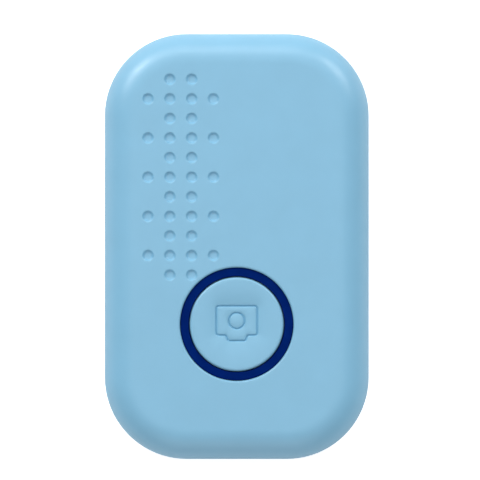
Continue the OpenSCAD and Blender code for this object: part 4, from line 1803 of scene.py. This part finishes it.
@dataclass
class BoardParts:
    """What is soldered to the board: the radio and its crystals, the coil, the lamps and the chip parts."""

    case: Case
    ease_r: float = 0.05
    end_share: float = 0.24
    body_inset: float = 0.02
    lead: tuple[float, float] = (0.26, 0.5)
    lead_foot: float = 0.12
    dot: tuple[float, float, float] = (0.8, 0.3, 0.06)
    lid_t: float = 0.35
    tub_inset: float = 0.2
    plate_t: float = 0.4
    plate_edge: float = 0.06
    core_r: float = 1.3
    wire_r: float = 0.11
    wire_turns: int = 5
    steps: int = 64

    def solder(self, name: str, skin: Skin, finish: Finish, node: str,
               places: Sequence[tuple[Vector, float]] = ()) -> None:
        """Makes a piece, or the parts of one at several places, and puts it on the case.

        Args:
            name: name of the piece.
            skin: its surface.
            finish: its finish.
            node: the CAD node that it stands for.
            places: position and turn of each, where it is a part that is repeated.
        """
        piece = repeated(name, skin.made("part"), places, finish) if places else skin.made(name)
        keep(piece, "case", finish, node)

    def chip_parts(self, node: str, finish: Finish) -> None:
        """Capacitors or resistors: one body and two metal ends for each.

        Args:
            node: the CAD node that holds them all.
            finish: finish of the bodies.
        """
        solids = islands(node)
        size = solids[0][1] - solids[0][0]
        x, y, inset = size.x / 2, size.y / 2, self.body_inset
        end = size.y * self.end_share
        body, ends = Skin(), Skin()
        body.block((inset - x, end - y, inset), (x - inset, y - end, size.z - inset))
        for side in (-1, 1):
            near, far = sorted((side * y, side * (y - end)))
            ends.block((-x, near, 0), (x, far, size.z), self.ease_r)
        places = [(Vector(((a.x + b.x) / 2, (a.y + b.y) / 2, a.z)), 0.0) for a, b in solids]
        self.solder(f"{node}_bodies", body, finish, node, places)
        self.solder(f"{node}_ends", ends, TERMINAL, node, places)

    def radio(self) -> None:
        """The radio's moulded package with a dot at its first terminal, and the terminals round its foot."""
        low, high = box_mm("radio_chip")
        body = Skin()
        body.block(low, (high.x, high.y, high.z - 0.02), bevel=0.1)
        chip = body.made("radio_package")
        inset, dot_r, depth = self.dot
        dot = Skin()
        dot.turned(Vector((low.x + inset, high.y - inset)),
                   [(0, low.z - 0.2), (dot_r, low.z - 0.2), (dot_r, low.z + depth / 2),
                    (dot_r * 0.8, low.z + depth), (0, low.z + depth)], steps=24)
        work(chip, dot.made("dot"), Joinery.CUT)
        keep(chip, "case", CHIP, "radio_chip")
        width, pitch = self.lead
        pin = Skin()
        pin.block((-width / 2, -0.04, -self.lead_foot), (width / 2, 0.02, 0), bevel=0.01)
        half = (high.x - low.x) / 2
        count = int((2 * half - inset) / pitch)
        foot = Vector(((low.x + high.x) / 2, (low.y + high.y) / 2, high.z))
        places = []
        for side in range(4):
            turn = Matrix.Rotation(math.radians(90 * side), 3, "Z")
            places += [(foot + turn @ Vector(((i - count / 2) * pitch, half, 0)), 90.0 * side)
                       for i in range(count + 1)]
        self.solder("radio_terminals", pin, GOLD, "radio_chip", places)

    def crystals(self) -> None:
        """The two crystals: a ceramic tub with a welded lid, and a rounded can."""
        low, high = box_mm("radio_crystal")
        t, inset = self.lid_t, self.tub_inset
        lid, can = Skin(), Skin()
        lid.block((low.x, low.y, high.z - t), high, bevel=0.04)
        lid.block((low.x + inset, low.y + inset, low.z),
                  (high.x - inset, high.y - inset, high.z - t + 0.01), bevel=0.1)
        self.solder("radio_crystal_case", lid, CRYSTAL_CAN, "radio_crystal")
        can.block(*box_mm("clock_crystal"), bevel=0.16)
        self.solder("clock_crystal_case", can, CRYSTAL_CAN, "clock_crystal")

    def coil(self) -> None:
        """The coil's ferrite core with its flanges, and the copper winding between them."""
        low, high = box_mm("boost_inductor")
        centre, radius = (low + high) / 2, (high.x - low.x) / 2
        plate, base, roof = self.plate_t, low.z + self.plate_t, high.z - self.plate_t
        e, core_r = self.plate_edge, self.core_r
        core, winding = Skin(), Skin()
        core.block((low.x, low.y, roof), high, self.ease_r)
        core.turned(centre, [(0, low.z), (radius - e, low.z), (radius, low.z + e), (radius, base - e),
                             (radius - e, base), (core_r, base), (core_r, roof + plate / 4),
                             (0, roof + plate / 4)], self.steps)
        self.solder("coil_core", core, FERRITE, "boost_inductor")
        step = (roof - base) / self.wire_turns
        profile = [(core_r + 0.02, base + 0.01)]
        for k in range(self.wire_turns):
            profile += arc((core_r + 2.6 * self.wire_r, base + (k + 0.5) * step), step / 2, -80, 80, 5)
        profile.append((core_r + 0.02, roof - 0.01))
        winding.turned(centre, profile, self.steps)
        self.solder("coil_winding", winding, COPPER, "boost_inductor")

    def lamps(self) -> None:
        """The lamps under the light ring, each with a domed window."""
        lamp = Skin()
        lamp.block((-0.4, -0.8, 0.0), (0.4, 0.8, 0.25), bevel=0.04)
        lamp.block((-0.35, -0.5, 0.24), (0.35, 0.5, 0.6), bevel=0.12)
        places = []
        for a, b in islands("ring_leds"):
            spot = (a + b) / 2
            out = spot - self.case.button
            places.append((Vector((spot.x, spot.y, a.z)), math.degrees(math.atan2(out.y, out.x))))
        self.solder("ring_lamps", lamp, LED_WHITE, "ring_leds", places)

    def build(self) -> None:
        """Makes the parts and puts them on the case."""
        self.chip_parts("chip_capacitors", TAN_CERAMIC)
        self.chip_parts("chip_resistors", CHIP)
        self.radio()
        self.crystals()
        self.coil()
        self.lamps()


@dataclass
class ScrewSets:
    """The case screws in the back, and the screws that hold the board."""

    case: Case
    case_size: tuple[float, float, float, float] = (1.25, 0.75, 0.62, 4.55)
    board_head: tuple[float, float, float] = (1.1, 0.55, 0.5)
    board_tip: float = 0.13

    def put(self, node: str, screw: Screw, places: Sequence[tuple[Vector, float]]) -> None:
        """Makes one set and puts it on the case.

        Args:
            node: the CAD node that the set stands for.
            screw: the screw.
            places: position and turn of each.
        """
        name = node.removesuffix("s")
        keep(repeated(f"{name}_set", screw.part(name), places, SCREW), "case", SCREW, node)

    def build(self) -> None:
        """Makes both sets."""
        low = box_mm("case_screws")[0].z
        self.put("case_screws", Screw(*self.case_size),
                 [(Vector((place.x, place.y, low)), 17.0 + 31.0 * i)
                  for i, place in enumerate(self.case.screw_places())])
        low, high = (corner.z for corner in box_mm("board_screws"))
        length = high - low - self.board_head[1] - self.board_tip
        self.put("board_screws", Screw(*self.board_head, length),
                 [(Vector((*place, low)), 40.0 * i) for i, place in enumerate(self.case.board_screws)])


@dataclass
class ShellSeal:
    """Rubber seal between the shells, all round."""

    case: Case
    inset: float = 0.9
    width: float = 0.48
    edge_r: float = 0.08

    def build(self) -> None:
        """Makes the seal and puts it on the case."""
        low, high = (corner.z for corner in box_mm("case_seal"))
        loop = self.case.outline.loop(self.inset, (low + high) / 2)
        seal = bead("shell_seal", loop, self.width, high - low, self.edge_r, RUBBER)
        keep(seal, "case", RUBBER, "case_seal")


@dataclass
class Studio:
    """Pale floor, soft lights and the camera, straight above the tag."""

    floor: float = 3.0
    drop: float = -0.05  # in millimetres
    floor_glow: float = 0.6
    sky: float = 0.39
    lens: float = 200.0
    height: float = 0.3311
    aim: tuple[float, float] = (0.000395, 0.000796)
    lamps: tuple[tuple[str, tuple[float, float, float], float, float], ...] = (
        ("overhead", (0.0, 0.1, 0.9), 0.8, 1.6),
        ("key", (-0.05, 0.55, 0.36), 0.35, 1.2),
        ("left", (-0.42, 0.42, 0.34), 0.22, 1.95),
        ("fill", (0.0, -0.6, 0.35), 0.5, 0.75),
        ("right", (0.42, 0.42, 0.34), 0.22, 1.4))

    def lamp(self, name: str, place: tuple[float, float, float], size: float, power: float) -> None:
        """Hangs a square soft light that faces the tag.

        Args:
            name: name of the light.
            place: where it hangs, in metres.
            size: its side, in metres.
            power: its power, in watts.
        """
        data = bpy.data.lights.new(name, "AREA")
        data.size, data.energy = size, power
        light = bpy.data.objects.new(name, data)
        light.location = place
        light.rotation_euler = (Vector() - Vector(place)).to_track_quat("-Z", "Y").to_euler()
        bpy.context.scene.collection.objects.link(light)

    def ground(self) -> None:
        """Makes the floor, whose glow is for the camera alone and lights nothing."""
        skin = Skin()
        half = self.floor / 2 / MM
        skin.level(skin.ring([Vector((x * half, y * half, self.drop))
                              for x, y in ((1, 1), (-1, 1), (-1, -1), (1, -1))]))
        floor = skin.made("floor", outward=False)
        paper = bpy.data.materials.new("pale_paper")
        paper.use_nodes = True
        nodes = Sketch(paper.node_tree)
        seen = nodes.node("ShaderNodeLightPath").outputs["Is Camera Ray"]
        shader = paper.node_tree.nodes["Principled BSDF"].inputs
        paper.node_tree.links.new(nodes.maths("MULTIPLY", seen, self.floor_glow), shader["Emission Strength"])
        for socket, value in (("Base Color", (0.93, 0.935, 0.94, 1)), ("Roughness", 0.9),
                              ("Specular IOR Level", 0.1), ("Emission Color", (1, 1, 1, 1))):
            shader[socket].default_value = value
        floor.data.materials.append(paper)

    def build(self) -> None:
        """Makes the floor, the lights and the camera."""
        self.ground()
        scene = bpy.context.scene
        scene.world = bpy.data.worlds.new("studio")
        scene.world.use_nodes = True
        sky = scene.world.node_tree.nodes["Background"]
        sky.inputs["Color"].default_value = (0.97, 0.985, 1.0, 1)
        sky.inputs["Strength"].default_value = self.sky
        for lamp in self.lamps:
            self.lamp(*lamp)
        scene.view_settings.view_transform = "Standard"
        data = bpy.data.cameras.new("camera")
        data.lens, data.sensor_width = self.lens, 36.0
        camera = bpy.data.objects.new("camera", data)
        camera.location = (*self.aim, self.height)
        scene.collection.objects.link(camera)
        scene.camera = camera


def main() -> None:
    """Builds the tag and its stage."""
    logging.basicConfig(level=logging.INFO, format="%(name)s: %(message)s")
    case = Case()
    Studio().build()
    for assembly in (FrontShell, BackShell, PushButton, LightRing, BatteryDoor, ScrewSets, SnapDome, CoinCell,
                     BoardParts, ShellSeal):
        assembly(case).build()
    for node, finish in NODE_FINISHES.items():
        dress(node, finish)


if __name__ == "__main__":
    main()
